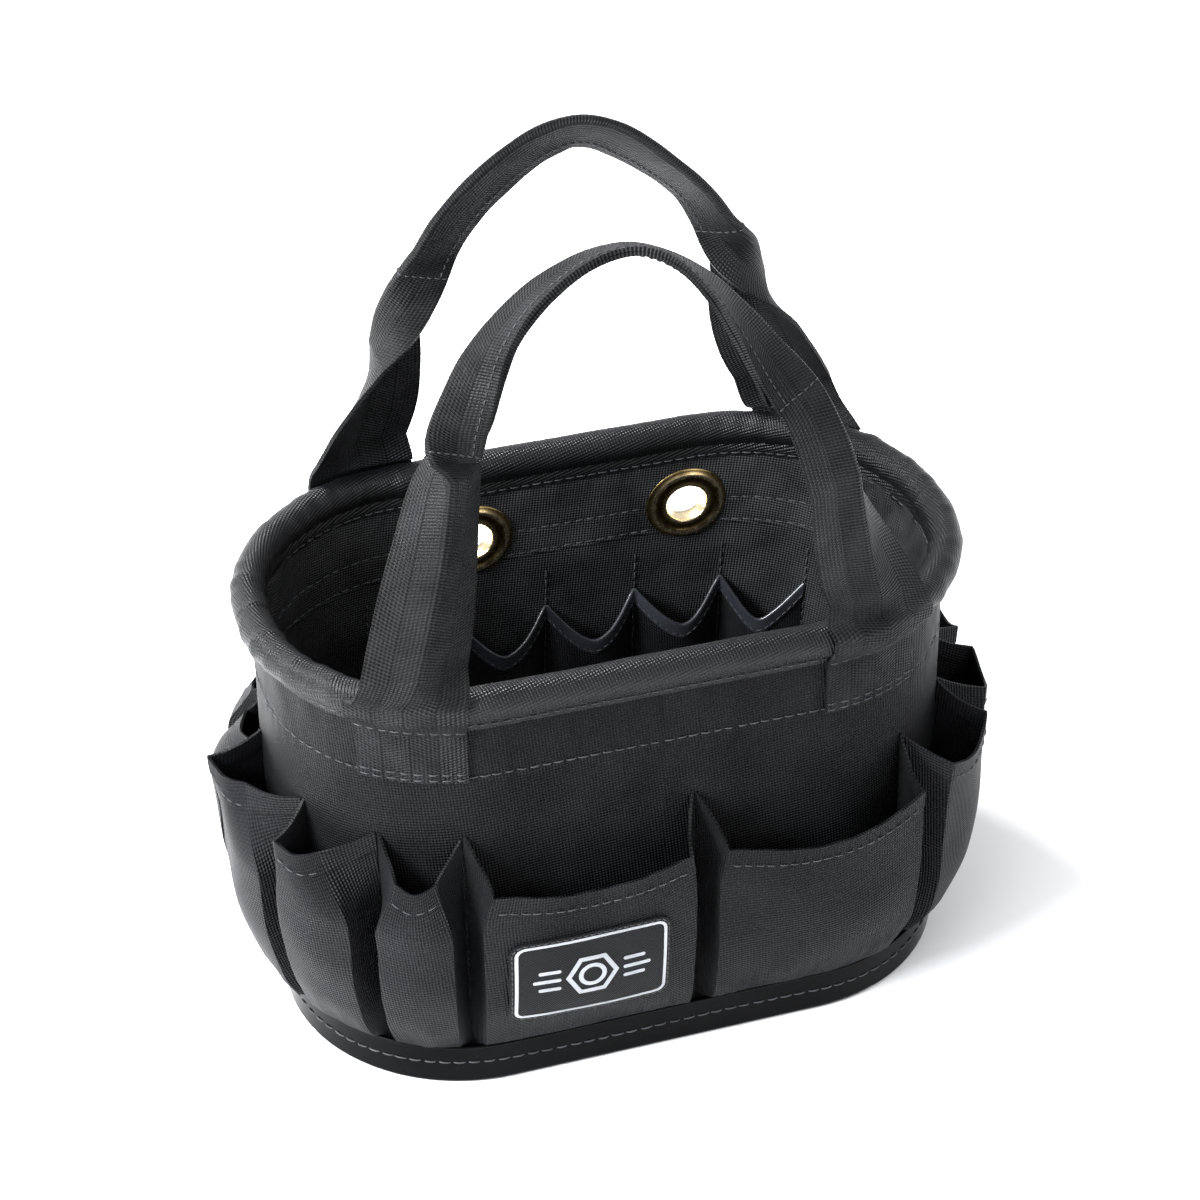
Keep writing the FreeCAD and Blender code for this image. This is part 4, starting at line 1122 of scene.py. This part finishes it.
def strap_threads(side, grid, foot_rows):
    """Seams across the strap's sewn ends, and along and across its grip."""
    stand = normals(grid)
    low = []
    for rows in (range(0, foot_rows), range(len(grid) - 1, len(grid) - foot_rows - 1, -1)):
        for z in FOOT_SEAMS:
            number = min(rows, key=lambda row: abs(grid[row, SPINE, 2] - z))
            facing = np.sign(np.sum(stand[number] * outward_of(grid[number]), -1))
            face = stand[number] * facing[:, None]
            low.append(stitches(grid[number] + face * (WEB_THICK / 2), face, seed=310))
    threads(f"strap_{side}_foot_stitching", low, "webbing")
    rows = np.flatnonzero(grid[:, SPINE, 2] > GRIP_HEIGHT)
    seams = []
    for column, sign in ((3, 1), (3, -1), (len(ACROSS) - 4, 1), (len(ACROSS) - 4, -1)):
        face = stand[rows, column] * sign
        seams.append(stitches(
            grid[rows, column] + face * (WEB_THICK / 2 + 0.05), face, pitch=4.4, length=3.3,
            radius=0.36, seed=320 + column + sign))
    for row in (rows[0], rows[-1]):
        for sign in (1, -1):
            face = stand[row] * sign
            seams.append(stitches(
                grid[row] + face * (WEB_THICK / 2 + 0.05), face, pitch=4.0, length=3.4,
                radius=0.42, seed=330))
    threads(f"strap_{side}_grip_stitching", seams, "webbing", body=f"{side}_handle")


def outward_of(points):
    """Directions from the bucket's axis out to points."""
    return unit(points * np.array([0.2, 1.0, 0.0]))


# ---- tray

def build_tray():
    """Stitching and the bright moulded lip of the tray."""
    seam_height, lip_height, lip_radius = 15.0, 26.2, 0.75
    points = placed(SEAM_RUN, seam_height + 0.5 * np.sin(SEAM_RUN / 23.0), 0.05, TRAY)
    threads("tray_stitching", [stitches(
        points, outward(SEAM_RUN), pitch=8.0, length=6.9, radius=0.5, seed=401)], "tray_plastic")
    turn = np.radians(np.arange(0, 360, 30))[:, None]
    points = placed(
        ROUND, lip_height + lip_radius * np.sin(turn), 0.1 + lip_radius * np.cos(turn), TRAY)
    faces = tube_faces(*points.shape[:2])[2][:, [0, 3, 2, 1]]
    piece(
        "tray_lip", points.reshape(-1, 3), faces, np.zeros((len(faces), 4, 2)), GLOSS,
        "tray_plastic", sharp=80.0)


CAD_FINISHES = {
    "base_tray": GLOSS, "base_board": MATTE, "rim_core": TUBE, "stiffener_front": SHEET,
    "stiffener_rear": SHEET, "stiffener_left": SHEET, "stiffener_right": SHEET,
}


def paint_frame():
    """Materials of the frame's nodes that are shown as they are."""
    for name, material in CAD_FINISHES.items():
        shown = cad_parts[name]
        shown.data.materials.clear()
        shown.data.materials.append(material)


# ---- studio

AIM = Vector((-0.00039, 0.0, 0.21508))
CAMERA_BACK = Vector((-0.2481, -0.7769, 0.5787))
CAMERA_AWAY = 1.5996


def build_camera():
    """The camera, at three quarters from above."""
    data = bpy.data.cameras.new("camera")
    data.lens, data.sensor_width = 89.29, 36.0
    camera = added("camera", data)
    camera.location = AIM + CAMERA_BACK.normalized() * CAMERA_AWAY
    camera.rotation_euler = CAMERA_BACK.to_track_quat("Z", "Y").to_euler()
    bpy.context.scene.camera = camera


def area_light(name, place, size, power, colour):
    """A round lamp that faces the middle of the bucket."""
    data = bpy.data.lights.new(name, "AREA")
    data.shape = "DISK"
    data.size = size
    data.energy = power
    data.color = colour
    lamp = added(name, data)
    lamp.location = place
    lamp.rotation_euler = (Vector(place) - Vector((0, 0, 0.2))).to_track_quat("Z", "Y").to_euler()


def build_studio():
    """Soft light from all round, a broad sun, three lamps and a pale floor."""
    scene = bpy.context.scene
    scene.view_settings.view_transform = "Standard"
    world = bpy.data.worlds.new("studio")
    world.use_nodes = True
    background = world.node_tree.nodes["Background"]
    background.inputs["Color"].default_value = (0.95, 0.97, 1.0, 1.0)
    background.inputs["Strength"].default_value = 0.95
    scene.world = world
    sun_data = bpy.data.lights.new("sun", "SUN")
    sun_data.energy = 1.5
    sun_data.angle = math.radians(55)
    sun = added("sun", sun_data)
    sun.rotation_euler = Vector((-0.75, -0.1, 1.0)).to_track_quat("Z", "Y").to_euler()
    area_light("key", (-1.7, -0.5, 1.2), 0.9, 95.0, (0.93, 0.97, 1.0))
    area_light("back", (-0.7, 1.1, 1.6), 0.6, 60.0, (0.97, 0.98, 1.0))
    area_light("front", (0.9, -1.9, 0.9), 0.8, 10.0, (1.0, 0.99, 0.97))
    mesh = bpy.data.meshes.new("floor")
    reach = 6.0
    mesh.from_pydata(
        [(-reach, -reach, 0), (reach, -reach, 0), (reach, reach, 0), (-reach, reach, 0)], [],
        [(0, 1, 2, 3)])
    floor = added("floor", mesh)
    material, tree, surface = new_material("pale_floor")
    tone = noise(tree, node(tree, "ShaderNodeTexCoord").outputs["Object"], 2.0)
    colour = ramp(tree, tone, [(0.3, (0.93, 0.93, 0.93)), (0.7, (0.95, 0.95, 0.95))])
    tree.links.new(colour.outputs[0], surface.inputs["Base Color"])
    surface.inputs["Roughness"].default_value = 0.8
    surface.inputs["Specular IOR Level"].default_value = 0.1
    mesh.materials.append(material)


build_camera()
paint_frame()
build_shell()
build_lining()
build_rim()
build_wall_threads()
outer_pockets = build_pockets()
build_badge(outer_pockets[0])
build_inner_pockets()
build_grommets()
build_strap("front")
build_strap("rear")
build_tray()
build_studio()
